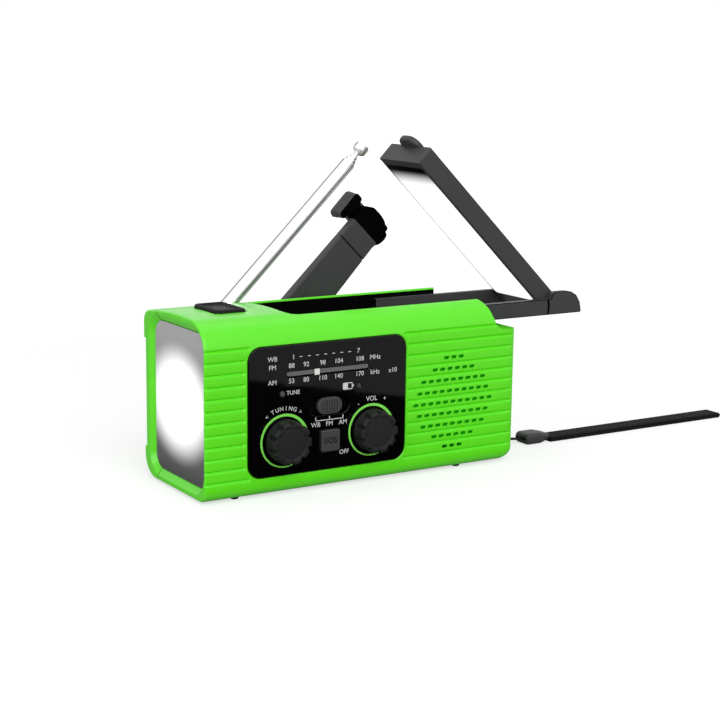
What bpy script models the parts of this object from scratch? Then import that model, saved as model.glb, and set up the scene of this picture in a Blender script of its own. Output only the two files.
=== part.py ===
"""Hand-crank emergency radio with torch, slide-out reading lamp and telescopic antenna.

Every size below is in millimetres and the meshes are in metres. Positions are
written from the middle of the housing: +X to the right, the front faces -Y,
and the feet stand on z = 0. The root empty moves all of it so that the origin
is under the middle of the whole object.
"""
import math

import bmesh
import bpy
from mathutils import Matrix, Vector

MM = 0.001

# Clearances
GAP = 0.3
TOOTH_SLACK = 0.27

# Housing
LENGTH = 158.0
DEPTH = 60.0
CROWN_Z = 77.5
FLOOR_GAP = 1.0
WALL = 2.2
FRONT_TOP_R = 13.5
FRONT_FOOT_R = 6.0
REAR_FOOT_R = 10.0
REAR_TOP_R = 5.5
END_ROUND = 5.0
END_WALL = 3.0
HALF_L = LENGTH / 2
HALF_D = DEPTH / 2
LEFT = -HALF_L
FRONT = -HALF_D
REAR_TOP_Z = CROWN_Z - 2.2
SPLIT_Y = HALF_D - 14.0
BEYOND = HALF_L + 11.0
ABOVE = CROWN_Z + 12.5

# Reading lamp on its tray
LAMP_X, LAMP_Z = HALF_L + 28.5, CROWN_Z - 8.0
LAMP_SLIDE = 34.7
LAMP_TILT = 44.3
LAMP_LONG = 101.3
LAMP_UP, LAMP_DOWN = 6.55, 2.8
TAB_LONG, TAB_HALF_W, TAB_THICK, TAB_RISE = 5.0, 6.75, 3.0, 2.0
HINGE_PIN_R = 1.3
TRAY_RIGHT = LAMP_X + 17.5
TRAY_LEFT = TRAY_RIGHT - 92.0
TRAY_LOW, RAIL_HIGH, CHEEK_HIGH = CROWN_Z - 12.0, CROWN_Z - 4.5, CROWN_Z - 1.3
TRAY_FLOOR = 0.8

# Lamp bay in the top, and the step at the right end
BAY_LEFT = LAMP_X - LAMP_SLIDE - LAMP_LONG - TAB_LONG - 0.7
BAY_HALF_W = HALF_D - 9.4
BAY_FLOOR = TRAY_LOW - 0.7
BAY_WALL = 2.0
STEP_LEFT = HALF_L - 18.0
STEP_Z = CROWN_Z - 14.5
RIDGE_END = HALF_L - 11.2
RAIL_OUT = BAY_HALF_W - GAP
RAIL_IN = RAIL_OUT - 3.3
LAMP_HALF_W = RAIL_IN - 0.5

# Antenna, and its groove in the top rear edge
MAST_X, MAST_Y, MAST_Z = LEFT + 35.9, HALF_D - 3.8, CROWN_Z - 6.5
MAST_TILT = 44.5
MAST_END = 92.7
MAST_RADII = ((3.3, 2.9), (2.6, 2.2), (1.9, 1.5))
ROD_R, CAP_R, CAP_END = 1.2, 3.4, 104.0
MAST_STEP = 1.9
GROOVE_Y = HALF_D - 7.6
GROOVE_FLOOR = CROWN_Z - 10.6
GROOVE_LEFT = LEFT + 30.0
GROOVE_RIGHT = RIDGE_END + 1.0

# Recess in the back for the crank
RECESS_DEEP = 2.4
RECESS_LOW = FLOOR_GAP + 13.0
RECESS_HIGH = CROWN_Z - 15.0
RECESS_Y = HALF_D - RECESS_DEEP
BACK_INNER = RECESS_Y - WALL

# Control panel
PANEL_LEFT = LEFT + 20.1
PANEL_RIGHT = PANEL_LEFT + 77.9
PANEL_LOW = FLOOR_GAP + 8.3
PANEL_HIGH = CROWN_Z - 12.3
PANEL_R = 6.0
PANEL_THICK = 1.5
PANEL_PROUD = 0.2
PANEL_LEDGE = 4.0
PANEL_FRONT = FRONT - PANEL_PROUD

# Ribs and speaker
GROOVES = 12
GROOVE_W = 1.2
GROOVE_DEEP = 0.5
SLOT_ROWS = (3, 6, 9, 10, 11, 10, 9, 6, 3)
SLOT_PITCH = 4.0
SLOT_W = 2.6
SLOT_H = 1.2
SPEAKER_X = PANEL_RIGHT + 26.0
SPEAKER_R = 25.5

# Knobs, switch and buttons, placed from the panel's edges
KNOB_R = 9.4
KNOB_HIGH = 7.2
KNOB_SCALLOPS = 10
SHAFT_R = 3.0
TUNE_X, TUNE_Z = PANEL_LEFT + 17.2, PANEL_LOW + 15.0
VOLUME_X, VOLUME_Z = PANEL_LEFT + 60.4, PANEL_LOW + 15.0
SWITCH_X, SWITCH_Z = PANEL_LEFT + 39.1, PANEL_LOW + 28.0
SWITCH_W, SWITCH_H = 20.0, 8.2
SLIDER_W = 12.0
SOS_X, SOS_Z, SOS_SIZE = PANEL_LEFT + 39.2, PANEL_LOW + 12.7, 9.4
DIAL_LEFT, DIAL_RIGHT = PANEL_LEFT + 18.1, PANEL_LEFT + 58.9
DIAL_Z, DIAL_H = PANEL_HIGH - 12.6, 2.2
POINTER_X, POINTER_W, POINTER_H = PANEL_LEFT + 32.8, 2.4, 1.6
LAMP_DOT_R = 1.1
DOTS = {
    "tuning_indicator": (PANEL_LEFT + 16.1, PANEL_LOW + 35.4),
    "charge_indicator": (PANEL_LEFT + 53.8, PANEL_LOW + 35.3),
}

# Tuning drive behind the board
BOARD_Y, BOARD_THICK = FRONT + 8.4, 1.6
BOARD_LEFT, BOARD_RIGHT = PANEL_LEFT + 2.9, PANEL_RIGHT - 1.5
BOARD_LOW, BOARD_HIGH = PANEL_LOW - 1.3, PANEL_LOW + 39.1
MODULE = 1.0
TUNE_TEETH, CAPACITOR_TEETH = 12, 18
TUNE_GEAR_Y, TUNE_GEAR_THICK = BOARD_Y + 8.6, 1.6

# Torch
WINDOW = (FRONT + 1.6, HALF_D - 8.5, FLOOR_GAP + 5.2, CROWN_Z - 5.5)
WINDOW_R = 7.0
REFLECTOR_DEEP = 9.0
BUTTON_X, BUTTON_Y, BUTTON_W, BUTTON_D = LEFT + 22.5, 0.8, 15.0, 23.0
BUTTON_PROUD = 1.2
BUTTON_LOW = CROWN_Z - 3.7

# Crank and generator, placed from the back of the housing
HUB_X, HUB_Z = LEFT + 50.5, 38.0
CRANK_TILT = 45.5
ARM_Y, ARM_THICK = HALF_D + 1.0, 5.0
ARM_HUB_R, ARM_TIP_HALF_W, ARM_TIP = 11.0, 8.5, 91.5
GRIP_PIN_S, GRIP_PIN_Y = ARM_TIP + 5.0, ARM_Y + 7.0
KNUCKLE_HALF_W, KNUCKLE_R, KNUCKLE_NOSE = 7.8, 4.4, 6.7
EAR_OUT, EAR_R = 12.4, 4.2
GRIP_HALF_W, GRIP_END_Y, GRIP_THICK = 13.4, GRIP_PIN_Y + 12.5, 14.0
GRIP_BACK, GRIP_REST = 6.5, 1.7
GRIP_CORNER = 5.0
CRANK_SHAFT_R = 3.5
CRANK_TEETH, IDLER_SMALL, IDLER_LARGE, DYNAMO_TEETH = 40, 10, 36, 12
CRANK_GEAR_Y, IDLER_Y, GEAR_THICK = HALF_D - 12.0, HALF_D - 15.8, 2.6
PLATE_Y, PLATE_THICK = IDLER_Y - 1.9, 1.4
MOTOR_R, MOTOR_BACK, MOTOR_LONG = 10.2, PLATE_Y - 0.4, 19.4
CRANK_SCREW_END = HALF_D - 5.6

# Battery
CELL_R, CELL_LONG = 9.0, 50.0
CELL_X, CELL_Y, CELL_Z = HALF_L - 34.5, BACK_INNER - 0.8 - CELL_R, 27.0

# Feet, screws, sockets and strap
FEET = {
    "foot_front_left": (LEFT + 17.0, FRONT + 7.0),
    "foot_front_right": (HALF_L - 27.0, FRONT + 7.0),
    "foot_rear_left": (LEFT + 17.0, HALF_D - 9.8),
    "foot_rear_right": (HALF_L - 27.0, HALF_D - 9.8),
}
FOOT_R = 2.2
SCREWS = (
    (LEFT + 17.5, FLOOR_GAP + 6.2),
    (LEFT + 17.5, CROWN_Z - 15.5),
    (HALF_L - 13.0, FLOOR_GAP + 7.0),
    (HALF_L - 6.0, CROWN_Z - 18.3),
)
POST_R, SCREW_R, SCREW_HEAD_R = 3.0, 1.0, 2.6
HEAD_SEAT = HALF_D - 5.6
SCREW_END = SPLIT_Y - 8.8
USB_Y, USB_Z, USB_THICK, USB_TALL, USB_DEEP = FRONT + 12.0, 49.0, 5.8, 13.1, 13.0
CHARGE_Z, CHARGE_THICK, CHARGE_TALL, CHARGE_DEEP = 29.0, 3.4, 9.0, 8.0
STRAP_Y, STRAP_HOLE_Z, CORD_R = FRONT + 26.0, FLOOR_GAP + 6.0, 0.65
CLAMP_LEFT, CLAMP_LONG, CLAMP_W, CLAMP_HIGH = HALF_L + 25.0, 14.5, 10.5, 5.4
WEB_LONG, WEB_W, WEB_THICK = 112.0, 9.6, 2.6

COLOURS = {
    "green plastic": ((0.16, 0.68, 0.03), 0.38, 0.0),
    "black plastic": ((0.025, 0.025, 0.027), 0.45, 0.0),
    "gloss black": ((0.006, 0.006, 0.007), 0.08, 0.0),
    "grey plastic": ((0.09, 0.09, 0.095), 0.5, 0.0),
    "white plastic": ((0.85, 0.85, 0.83), 0.4, 0.0),
    "rubber": ((0.02, 0.02, 0.02), 0.8, 0.0),
    "steel": ((0.6, 0.6, 0.62), 0.25, 1.0),
    "chrome": ((0.82, 0.82, 0.84), 0.08, 1.0),
    "brass": ((0.75, 0.55, 0.22), 0.3, 1.0),
    "copper": ((0.8, 0.36, 0.18), 0.35, 1.0),
    "clear plastic": ((0.95, 0.96, 0.97), 0.05, 0.0),
    "circuit board": ((0.02, 0.2, 0.08), 0.5, 0.0),
    "solar glass": ((0.01, 0.015, 0.05), 0.1, 0.0),
    "ferrite": ((0.05, 0.05, 0.05), 0.7, 0.0),
    "webbing": ((0.03, 0.03, 0.03), 0.9, 0.0),
    "battery wrap": ((0.05, 0.2, 0.5), 0.4, 0.0),
}

for old in list(bpy.data.objects):
    bpy.data.objects.remove(old, do_unlink=True)

PARTS = bpy.data.collections.new("emergency_radio")
CUTTERS = bpy.data.collections.new("cutters")
bpy.context.scene.collection.children.link(PARTS)
bpy.context.scene.collection.children.link(CUTTERS)
MATRICES = {}


def material(name):
    found = bpy.data.materials.get(name)
    if found:
        return found
    colour, rough, metal = COLOURS[name]
    made = bpy.data.materials.new(name)
    made.use_nodes = True
    shader = made.node_tree.nodes["Principled BSDF"]
    shader.inputs["Base Color"].default_value = (*colour, 1)
    shader.inputs["Roughness"].default_value = rough
    shader.inputs["Metallic"].default_value = metal
    return made


def empty(name, x, y, z, turn=0.0, parent=None):
    """A joint empty at this point, turned about Y, under another empty."""
    made = bpy.data.objects.new(name, None)
    made.empty_display_size = 0.01
    PARTS.objects.link(made)
    made.location = (x * MM, y * MM, z * MM)
    made.rotation_euler = (0, math.radians(turn), 0)
    place = Matrix.Translation(made.location) @ Matrix.Rotation(math.radians(turn), 4, "Y")
    MATRICES[made] = place
    if parent:
        made.parent = parent
        made.matrix_parent_inverse = MATRICES[parent].inverted()
    return made


def added(name, data, kind, parent, local=False):
    """Link a piece, or a cutter where kind is None, under a joint empty."""
    made = bpy.data.objects.new(name, data)
    if kind:
        PARTS.objects.link(made)
        data.materials.append(material(kind))
    else:
        CUTTERS.objects.link(made)
        made.hide_render = True
        made.display_type = "WIRE"
    made.parent = parent
    if not local:
        made.matrix_parent_inverse = MATRICES[parent].inverted()
    return made


def modify(target, other, operation):
    modifier = target.modifiers.new(other.name, "BOOLEAN")
    modifier.operation = operation
    modifier.solver = "EXACT"
    modifier.object = other


def cut(target, *others):
    for other in others:
        modify(target, other, "DIFFERENCE")


def join(target, *others):
    for other in others:
        modify(target, other, "UNION")


def turn_to(axis):
    """The turn that takes the drawing plane's normal (local Z) to an axis."""
    if axis == "X":
        return Matrix(((0, 0, 1, 0), (1, 0, 0, 0), (0, 1, 0, 0), (0, 0, 0, 1)))
    if axis == "Y":
        return Matrix(((1, 0, 0, 0), (0, 0, -1, 0), (0, 1, 0, 0), (0, 0, 0, 1)))
    return Matrix.Identity(4)


def boxes(name, limits, kind=None, parent=None, local=False):
    """One mesh of boxes, each given by its low and high x, y and z."""
    bm = bmesh.new()
    for x0, x1, y0, y1, z0, z1 in limits:
        middle = Vector((x0 + x1, y0 + y1, z0 + z1)) * MM / 2
        size = Matrix.Diagonal((abs(x1 - x0) * MM, abs(y1 - y0) * MM, abs(z1 - z0) * MM, 1))
        bmesh.ops.create_cube(bm, size=1, matrix=Matrix.Translation(middle) @ size)
    mesh = bpy.data.meshes.new(name)
    bm.to_mesh(mesh)
    bm.free()
    return added(name, mesh, kind, parent or ROOT, local)


def rods(name, rods_list, kind=None, parent=None, local=False, segments=16):
    """Cylinders, each (axis, centre u, centre v, start, end, radius)."""
    bm = bmesh.new()
    for axis, u, v, start, end, radius in rods_list:
        turn = turn_to(axis)
        middle = {"X": ((start + end) / 2, u, v), "Y": (u, (start + end) / 2, v)}.get(axis)
        middle = Vector(middle or (u, v, (start + end) / 2)) * MM
        bmesh.ops.create_cone(
            bm,
            cap_ends=True,
            segments=segments,
            radius1=radius * MM,
            radius2=radius * MM,
            depth=abs(end - start) * MM,
            matrix=Matrix.Translation(middle) @ turn,
        )
    mesh = bpy.data.meshes.new(name)
    bm.to_mesh(mesh)
    bm.free()
    return added(name, mesh, kind, parent or ROOT, local)


def slab(name, outlines, axis, start, end, kind=None, parent=None, local=False):
    """Flat outlines drawn as 2D curves and extruded along an axis."""
    curve = bpy.data.curves.new(name, "CURVE")
    curve.dimensions = "2D"
    curve.fill_mode = "BOTH"
    curve.extrude = abs(end - start) * MM / 2
    for outline in outlines:
        spline = curve.splines.new("POLY")
        spline.points.add(len(outline) - 1)
        spline.use_cyclic_u = True
        for point, (u, v) in zip(spline.points, outline):
            point.co = (u * MM, v * MM, 0, 1)
    drawn = bpy.data.objects.new(name, curve)
    bpy.context.scene.collection.objects.link(drawn)
    mesh = bpy.data.meshes.new_from_object(drawn)
    bpy.data.objects.remove(drawn, do_unlink=True)
    bpy.data.curves.remove(curve)
    bm = bmesh.new()
    bm.from_mesh(mesh)
    bmesh.ops.remove_doubles(bm, verts=bm.verts, dist=1e-6)
    along = {"X": (1, 0, 0), "Y": (0, 1, 0), "Z": (0, 0, 1)}[axis]
    shift = Matrix.Translation(Vector(along) * (start + end) * MM / 2)
    bmesh.ops.transform(bm, matrix=shift @ turn_to(axis), verts=bm.verts)
    bmesh.ops.recalc_face_normals(bm, faces=bm.faces)
    bm.to_mesh(mesh)
    bm.free()
    mesh.materials.clear()
    mesh.name = name
    return added(name, mesh, kind, parent or ROOT, local)


def turned(name, profile, axis, u, v, kind=None, parent=None, local=False, segments=24):
    """A profile of (radius, along) points turned about an axis with a Screw."""
    mesh = bpy.data.meshes.new(name)
    points = [(r * MM, 0, a * MM) for r, a in profile]
    count = len(points)
    edges = [(i, i + 1) for i in range(count - 1)]
    if profile[0][0] > 0 and profile[-1][0] > 0:
        edges.append((count - 1, 0))
    mesh.from_pydata(points, edges, [])
    screw_turn = {
        "X": Matrix(((0, 0, 1, 0), (0, 1, 0, u * MM), (-1, 0, 0, v * MM), (0, 0, 0, 1))),
        "Y": Matrix(((1, 0, 0, u * MM), (0, 0, 1, 0), (0, -1, 0, v * MM), (0, 0, 0, 1))),
        "Z": Matrix.Translation((u * MM, v * MM, 0)),
    }[axis]
    made = added(name, mesh, kind, parent or ROOT, local)
    made.matrix_basis = screw_turn
    screw = made.modifiers.new("turn", "SCREW")
    screw.steps = segments
    screw.render_steps = segments
    screw.use_merge_vertices = True
    screw.merge_threshold = 1e-5
    screw.use_smooth_shade = False
    return made


def arc(cu, cv, radius, start, end, steps):
    turn = [math.radians(start + (end - start) * i / steps) for i in range(steps + 1)]
    return [(cu + radius * math.cos(a), cv + radius * math.sin(a)) for a in turn]


def rounded(u0, u1, v0, v1, radius, steps=4):
    return (
        arc(u1 - radius, v1 - radius, radius, 0, 90, steps)
        + arc(u0 + radius, v1 - radius, radius, 90, 180, steps)
        + arc(u0 + radius, v0 + radius, radius, 180, 270, steps)
        + arc(u1 - radius, v0 + radius, radius, 270, 360, steps)
    )


def circle(cu, cv, radius, count=20):
    return arc(cu, cv, radius, 0, 360 - 360 / count, count - 1)


def inset(outline, by):
    """The outline moved inwards by the same amount on every side."""
    moved = []
    count = len(outline)
    for i, (u, v) in enumerate(outline):
        normals = []
        for a, b in ((outline[i - 1], (u, v)), ((u, v), outline[(i + 1) % count])):
            du, dv = b[0] - a[0], b[1] - a[1]
            size = math.hypot(du, dv)
            normals.append((-dv / size, du / size))
        (a, b), (c, d) = normals
        scale = by / (1 + a * c + b * d)
        moved.append((u + (a + c) * scale, v + (b + d) * scale))
    return moved


def gear(cu, cv, teeth, phase):
    """A gear outline: slim straight-sided teeth, one centred at the phase angle."""
    pitch = 360 / teeth
    pitch_r = MODULE * teeth / 2
    root, tip = pitch_r - 1.25 * MODULE, pitch_r + 0.8 * MODULE
    points = []
    for k in range(teeth):
        middle = phase + k * pitch
        for radius, part in ((root, -TOOTH_SLACK), (tip, -0.1), (tip, 0.1), (root, TOOTH_SLACK)):
            a = math.radians(middle + part * pitch)
            points.append((cu + radius * math.cos(a), cv + radius * math.sin(a)))
    return points


def lofted(name, rings, kind=None, parent=None, closed=False, local=False):
    """A skin through unlike rings, capped at the ends or closed into a loop."""
    bm = bmesh.new()
    made = [[bm.verts.new(Vector(p) * MM) for p in ring] for ring in rings]
    pairs = list(zip(made, made[1:]))
    if closed:
        pairs.append((made[-1], made[0]))
    for one, two in pairs:
        for i in range(len(one)):
            j = (i + 1) % len(one)
            bm.faces.new((one[i], one[j], two[j], two[i]))
    if not closed:
        bm.faces.new(made[0])
        bm.faces.new(made[-1])
    bmesh.ops.recalc_face_normals(bm, faces=bm.faces)
    mesh = bpy.data.meshes.new(name)
    bm.to_mesh(mesh)
    bm.free()
    return added(name, mesh, kind, parent or ROOT, local)


def housing_outline():
    """The housing's section in y and z, anticlockwise seen from +X."""
    return (
        arc(FRONT + FRONT_FOOT_R, FLOOR_GAP + FRONT_FOOT_R, FRONT_FOOT_R, 180, 270, 3)
        + arc(HALF_D - REAR_FOOT_R, FLOOR_GAP + REAR_FOOT_R, REAR_FOOT_R, 270, 360, 4)
        + arc(HALF_D - REAR_TOP_R, REAR_TOP_Z - REAR_TOP_R, REAR_TOP_R, 0, 90, 3)
        + [(14.0, CROWN_Z - 0.9), (4.0, CROWN_Z - 0.2), (-6.0, CROWN_Z)]
        + arc(FRONT + FRONT_TOP_R, CROWN_Z - 0.3 - FRONT_TOP_R, FRONT_TOP_R, 90, 180, 6)
    )


def housing_solid(name, wall, left, kind=None):
    """The housing grown inwards by a wall, rounded at its right end."""
    outline = inset(housing_outline(), wall)
    right = HALF_L - wall
    end_r = END_ROUND - wall
    rings = [[(left, y, z) for y, z in outline]]
    for turn in (0, 30, 60, 90):
        a = math.radians(turn)
        ring = inset(outline, end_r * (1 - math.cos(a))) if turn else outline
        rings.append([(right - end_r + end_r * math.sin(a), y, z) for y, z in ring])
    return lofted(name, rings, kind)


ROOT = None
BOX_MIDDLE_X = (TRAY_RIGHT - HALF_L) / 2
BOX_MIDDLE_Y = (GRIP_END_Y + PANEL_FRONT - GAP - KNOB_HIGH) / 2
ROOT = empty("radio_origin", -BOX_MIDDLE_X, -BOX_MIDDLE_Y, 0)
MATRICES[ROOT] = Matrix.Identity(4)

# Joint empties, each on its axis
tray_joint = empty("lamp_slide_axis", LAMP_X, 0, TRAY_LOW, parent=ROOT)
lamp_joint = empty("lamp_tilt_axis", LAMP_X, 0, LAMP_Z, LAMP_TILT, tray_joint)
mast_joint = empty("antenna_tilt_axis", MAST_X, MAST_Y, MAST_Z, -MAST_TILT, ROOT)
crank_joint = empty("crank_axis", HUB_X, ARM_Y, HUB_Z, -CRANK_TILT, ROOT)
IDLER_X = HUB_X + MODULE * (CRANK_TEETH + IDLER_SMALL) / 2
DYNAMO_Z = HUB_Z - MODULE * (IDLER_LARGE + DYNAMO_TEETH) / 2
idler_joint = empty("idler_axis", IDLER_X, IDLER_Y, HUB_Z, parent=ROOT)
rotor_joint = empty("rotor_axis", IDLER_X, IDLER_Y, DYNAMO_Z, parent=ROOT)
tune_joint = empty("tuning_axis", TUNE_X, FRONT, TUNE_Z, parent=ROOT)
CAPACITOR_X = TUNE_X + MODULE * (TUNE_TEETH + CAPACITOR_TEETH) / 2
capacitor_joint = empty("capacitor_axis", CAPACITOR_X, TUNE_GEAR_Y, TUNE_Z, parent=ROOT)
pointer_joint = empty("pointer_axis", POINTER_X, FRONT, DIAL_Z, parent=ROOT)
volume_joint = empty("volume_axis", VOLUME_X, FRONT, VOLUME_Z, parent=ROOT)
band_joint = empty("band_axis", SWITCH_X, FRONT, SWITCH_Z, parent=ROOT)
sos_joint = empty("sos_axis", SOS_X, FRONT, SOS_Z, parent=ROOT)
torch_joint = empty("torch_button_axis", BUTTON_X, BUTTON_Y, CROWN_Z, parent=ROOT)

# Housing: one outer solid, hollowed, then split into a front and a rear shell
cavity = housing_solid("cavity", WALL, -HALF_L + END_WALL)
cut(
    cavity,
    boxes(
        "under_bay",
        [(BAY_LEFT - BAY_WALL, BEYOND, -BAY_HALF_W - BAY_WALL, DEPTH, BAY_FLOOR - WALL, ABOVE)],
    ),
    boxes("behind_recess", [(-BEYOND, BEYOND, BACK_INNER, DEPTH, RECESS_LOW - WALL, RECESS_HIGH + WALL)]),
    boxes(
        "under_groove",
        [(GROOVE_LEFT - WALL, BEYOND, GROOVE_Y - WALL, DEPTH, GROOVE_FLOOR - WALL, ABOVE)],
    ),
    boxes("under_step", [(STEP_LEFT - WALL, BEYOND, -DEPTH, DEPTH, STEP_Z - WALL, ABOVE)]),
)
bay_corner = 5.0
bay = slab(
    "bay",
    [
        [(BEYOND, -BAY_HALF_W), (BEYOND, BAY_HALF_W)]
        + arc(BAY_LEFT + bay_corner, BAY_HALF_W - bay_corner, bay_corner, 90, 180, 4)
        + arc(BAY_LEFT + bay_corner, -BAY_HALF_W + bay_corner, bay_corner, 180, 270, 4)
    ],
    "Z",
    BAY_FLOOR,
    ABOVE,
)
step_curve = [
    (STEP_LEFT, CROWN_Z + 1),
    (STEP_LEFT + 0.6, CROWN_Z - 0.3),
    (STEP_LEFT + 2.6, CROWN_Z - 1.6),
    (STEP_LEFT + 4.4, CROWN_Z - 4.4),
    (STEP_LEFT + 5.8, CROWN_Z - 8.2),
    (STEP_LEFT + 8.0, STEP_Z + 1.3),
    (STEP_LEFT + 11.0, STEP_Z),
    (BEYOND, STEP_Z),
    (BEYOND, ABOVE),
    (STEP_LEFT, ABOVE),
]
step = slab("right_step", [step_curve], "Y", -DEPTH, SPLIT_Y - 6)
window = slab("torch_window", [rounded(*WINDOW, WINDOW_R)], "X", -BEYOND, -HALF_L + END_WALL + 1)
post_holes = rods(
    "post_holes", [("Y", x, z, SCREW_END - 1.2, SPLIT_Y + 1, SCREW_R + GAP) for x, z in SCREWS], segments=10
)
foot_holes = rods("foot_holes", [("Z", x, y, -5, 8, 1.8) for x, y in FEET.values()], segments=10)

front_shell = housing_solid("front_shell", 0, -HALF_L, "green plastic")
pocket = slab(
    "panel_pocket",
    [rounded(PANEL_LEFT - GAP, PANEL_RIGHT + GAP, PANEL_LOW - GAP, PANEL_HIGH + GAP, PANEL_R + GAP)],
    "Y",
    -DEPTH,
    PANEL_FRONT + PANEL_THICK + GAP,
)
opening = slab(
    "panel_opening",
    [
        rounded(
            PANEL_LEFT + PANEL_LEDGE,
            PANEL_RIGHT - PANEL_LEDGE,
            PANEL_LOW + PANEL_LEDGE,
            PANEL_HIGH - PANEL_LEDGE,
            PANEL_R - 2,
        )
    ],
    "Y",
    -DEPTH,
    FRONT + WALL + 1,
)
pitch = (PANEL_HIGH - PANEL_LOW) / (GROOVES - 1)
levels = [PANEL_LOW + pitch * k for k in range(GROOVES)]
ribs = []
for left, right in ((-BEYOND, PANEL_LEFT - 1.6), (PANEL_RIGHT + 1.7, BEYOND)):
    points = [
        [(FRONT + GROOVE_DEEP, z), (FRONT - 1, z + GROOVE_W), (FRONT - 1, z - GROOVE_W)] for z in levels
    ]
    ribs.append(slab(f"rib_grooves_{len(ribs)}", points, "X", left, right))
slots = []
for row, number in enumerate(SLOT_ROWS):
    z = levels[0] + pitch * (row + 0.5)
    for k in range(number):
        x = SPEAKER_X + (k - (number - 1) / 2) * SLOT_PITCH
        slots.append(
            (x - SLOT_W / 2, x + SLOT_W / 2, FRONT - 1, FRONT + WALL + 1, z - SLOT_H / 2, z + SLOT_H / 2)
        )
slot_cutter = boxes("speaker_slots", slots)
button_hole = slab(
    "torch_button_hole",
    [
        rounded(
            BUTTON_X - BUTTON_W / 2 - GAP,
            BUTTON_X + BUTTON_W / 2 + GAP,
            BUTTON_Y - BUTTON_D / 2 - GAP,
            BUTTON_Y + BUTTON_D / 2 + GAP,
            3.0,
            3,
        )
    ],
    "Z",
    CROWN_Z - 7.5,
    ABOVE,
)
socket_holes = boxes(
    "socket_holes",
    [
        (HALF_L - 9, BEYOND, USB_Y - w / 2 - GAP, USB_Y + w / 2 + GAP, z - h / 2 - GAP, z + h / 2 + GAP)
        for w, h, z in ((USB_THICK, USB_TALL, USB_Z), (CHARGE_THICK, CHARGE_TALL, CHARGE_Z))
    ],
)
strap_hole = rods(
    "strap_hole", [("X", STRAP_Y, STRAP_HOLE_Z, HALF_L - 9, BEYOND, CORD_R + GAP)], segments=10
)
rear_half = boxes("rear_half", [(-LENGTH, LENGTH, SPLIT_Y, DEPTH, -10, ABOVE)])
front_half = boxes("front_half", [(-LENGTH, LENGTH, -DEPTH, SPLIT_Y + GAP, -10, ABOVE)])
cut(front_shell, cavity, bay, step, window, pocket, opening, *ribs, slot_cutter, button_hole)
cut(front_shell, socket_holes, strap_hole, rear_half)
posts = rods(
    "posts", [("Y", x, z, FRONT + WALL - 0.4, SPLIT_Y - 0.01, POST_R) for x, z in SCREWS], segments=12
)
join(front_shell, posts)
cut(front_shell, post_holes, foot_holes)

rear_shell = housing_solid("rear_shell", 0, -HALF_L, "green plastic")
rear_step = boxes("rear_step", [(RIDGE_END, BEYOND, SPLIT_Y - 6, DEPTH, STEP_Z, ABOVE)])
groove = boxes("antenna_groove", [(GROOVE_LEFT, GROOVE_RIGHT, GROOVE_Y, DEPTH, GROOVE_FLOOR, ABOVE)])
recess = slab(
    "crank_recess",
    [rounded(-LENGTH, HALF_L - 3, RECESS_LOW, RECESS_HIGH, 6)],
    "Y",
    RECESS_Y,
    DEPTH,
)
crank_hole = rods("crank_hole", [("Y", HUB_X, HUB_Z, SPLIT_Y, DEPTH, CRANK_SHAFT_R + GAP)], segments=20)
DOOR = (
    CELL_X - CELL_LONG / 2 - 2.5,
    CELL_X + CELL_LONG / 2 + 2.5,
    CELL_Z - CELL_R - 1.5,
    CELL_Z + CELL_R + 1.5,
)
DOOR_LIP = 2.0
DOOR_THICK = 1.0
door_pocket = slab("door_pocket", [rounded(*DOOR, 3, 3)], "Y", RECESS_Y - DOOR_THICK - GAP, DEPTH)
door_hole = slab(
    "door_hole",
    [rounded(DOOR[0] + DOOR_LIP, DOOR[1] - DOOR_LIP, DOOR[2] + DOOR_LIP, DOOR[3] - DOOR_LIP, 2, 2)],
    "Y",
    SPLIT_Y,
    DEPTH,
)
bosses = rods(
    "bosses", [("Y", x, z, SPLIT_Y + GAP + 0.01, BACK_INNER + 0.9, 4.2) for x, z in SCREWS], segments=12
)
screw_ways = rods(
    "screw_ways", [("Y", x, z, SPLIT_Y - 6, DEPTH, SCREW_R + 0.5) for x, z in SCREWS], segments=10
)
head_ways = rods(
    "head_ways", [("Y", x, z, HEAD_SEAT, DEPTH, SCREW_HEAD_R + GAP) for x, z in SCREWS], segments=12
)
mast_hole = rods("mast_hole", [("Y", MAST_X, MAST_Z, GROOVE_Y - 1.8, GROOVE_Y + 1.6, 1.6)], segments=10)
cut(rear_shell, cavity, bay, rear_step, window, front_half, groove, recess, crank_hole)
cut(rear_shell, door_pocket, door_hole, foot_holes)
join(rear_shell, bosses)
cut(rear_shell, screw_ways, head_ways, mast_hole)

# Control panel and what moves in it
panel = slab(
    "control_panel",
    [rounded(PANEL_LEFT, PANEL_RIGHT, PANEL_LOW, PANEL_HIGH, PANEL_R)],
    "Y",
    PANEL_FRONT,
    PANEL_FRONT + PANEL_THICK,
    "gloss black",
)
panel_holes = slab(
    "panel_holes",
    [
        circle(TUNE_X, TUNE_Z, SHAFT_R + 0.5),
        circle(VOLUME_X, VOLUME_Z, SHAFT_R + 0.5),
        rounded(
            SWITCH_X - SWITCH_W / 2,
            SWITCH_X + SWITCH_W / 2,
            SWITCH_Z - SWITCH_H / 2,
            SWITCH_Z + SWITCH_H / 2,
            SWITCH_H / 2 - 0.01,
        ),
        rounded(
            SOS_X - SOS_SIZE / 2 - GAP,
            SOS_X + SOS_SIZE / 2 + GAP,
            SOS_Z - SOS_SIZE / 2 - GAP,
            SOS_Z + SOS_SIZE / 2 + GAP,
            1.2,
            2,
        ),
        rounded(DIAL_LEFT, DIAL_RIGHT, DIAL_Z - DIAL_H / 2, DIAL_Z + DIAL_H / 2, DIAL_H / 2 - 0.01, 3),
    ]
    + [circle(x, z, LAMP_DOT_R + GAP, 12) for x, z in DOTS.values()],
    "Y",
    FRONT - 15,
    FRONT + 10,
)
cut(panel, panel_holes)
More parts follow.
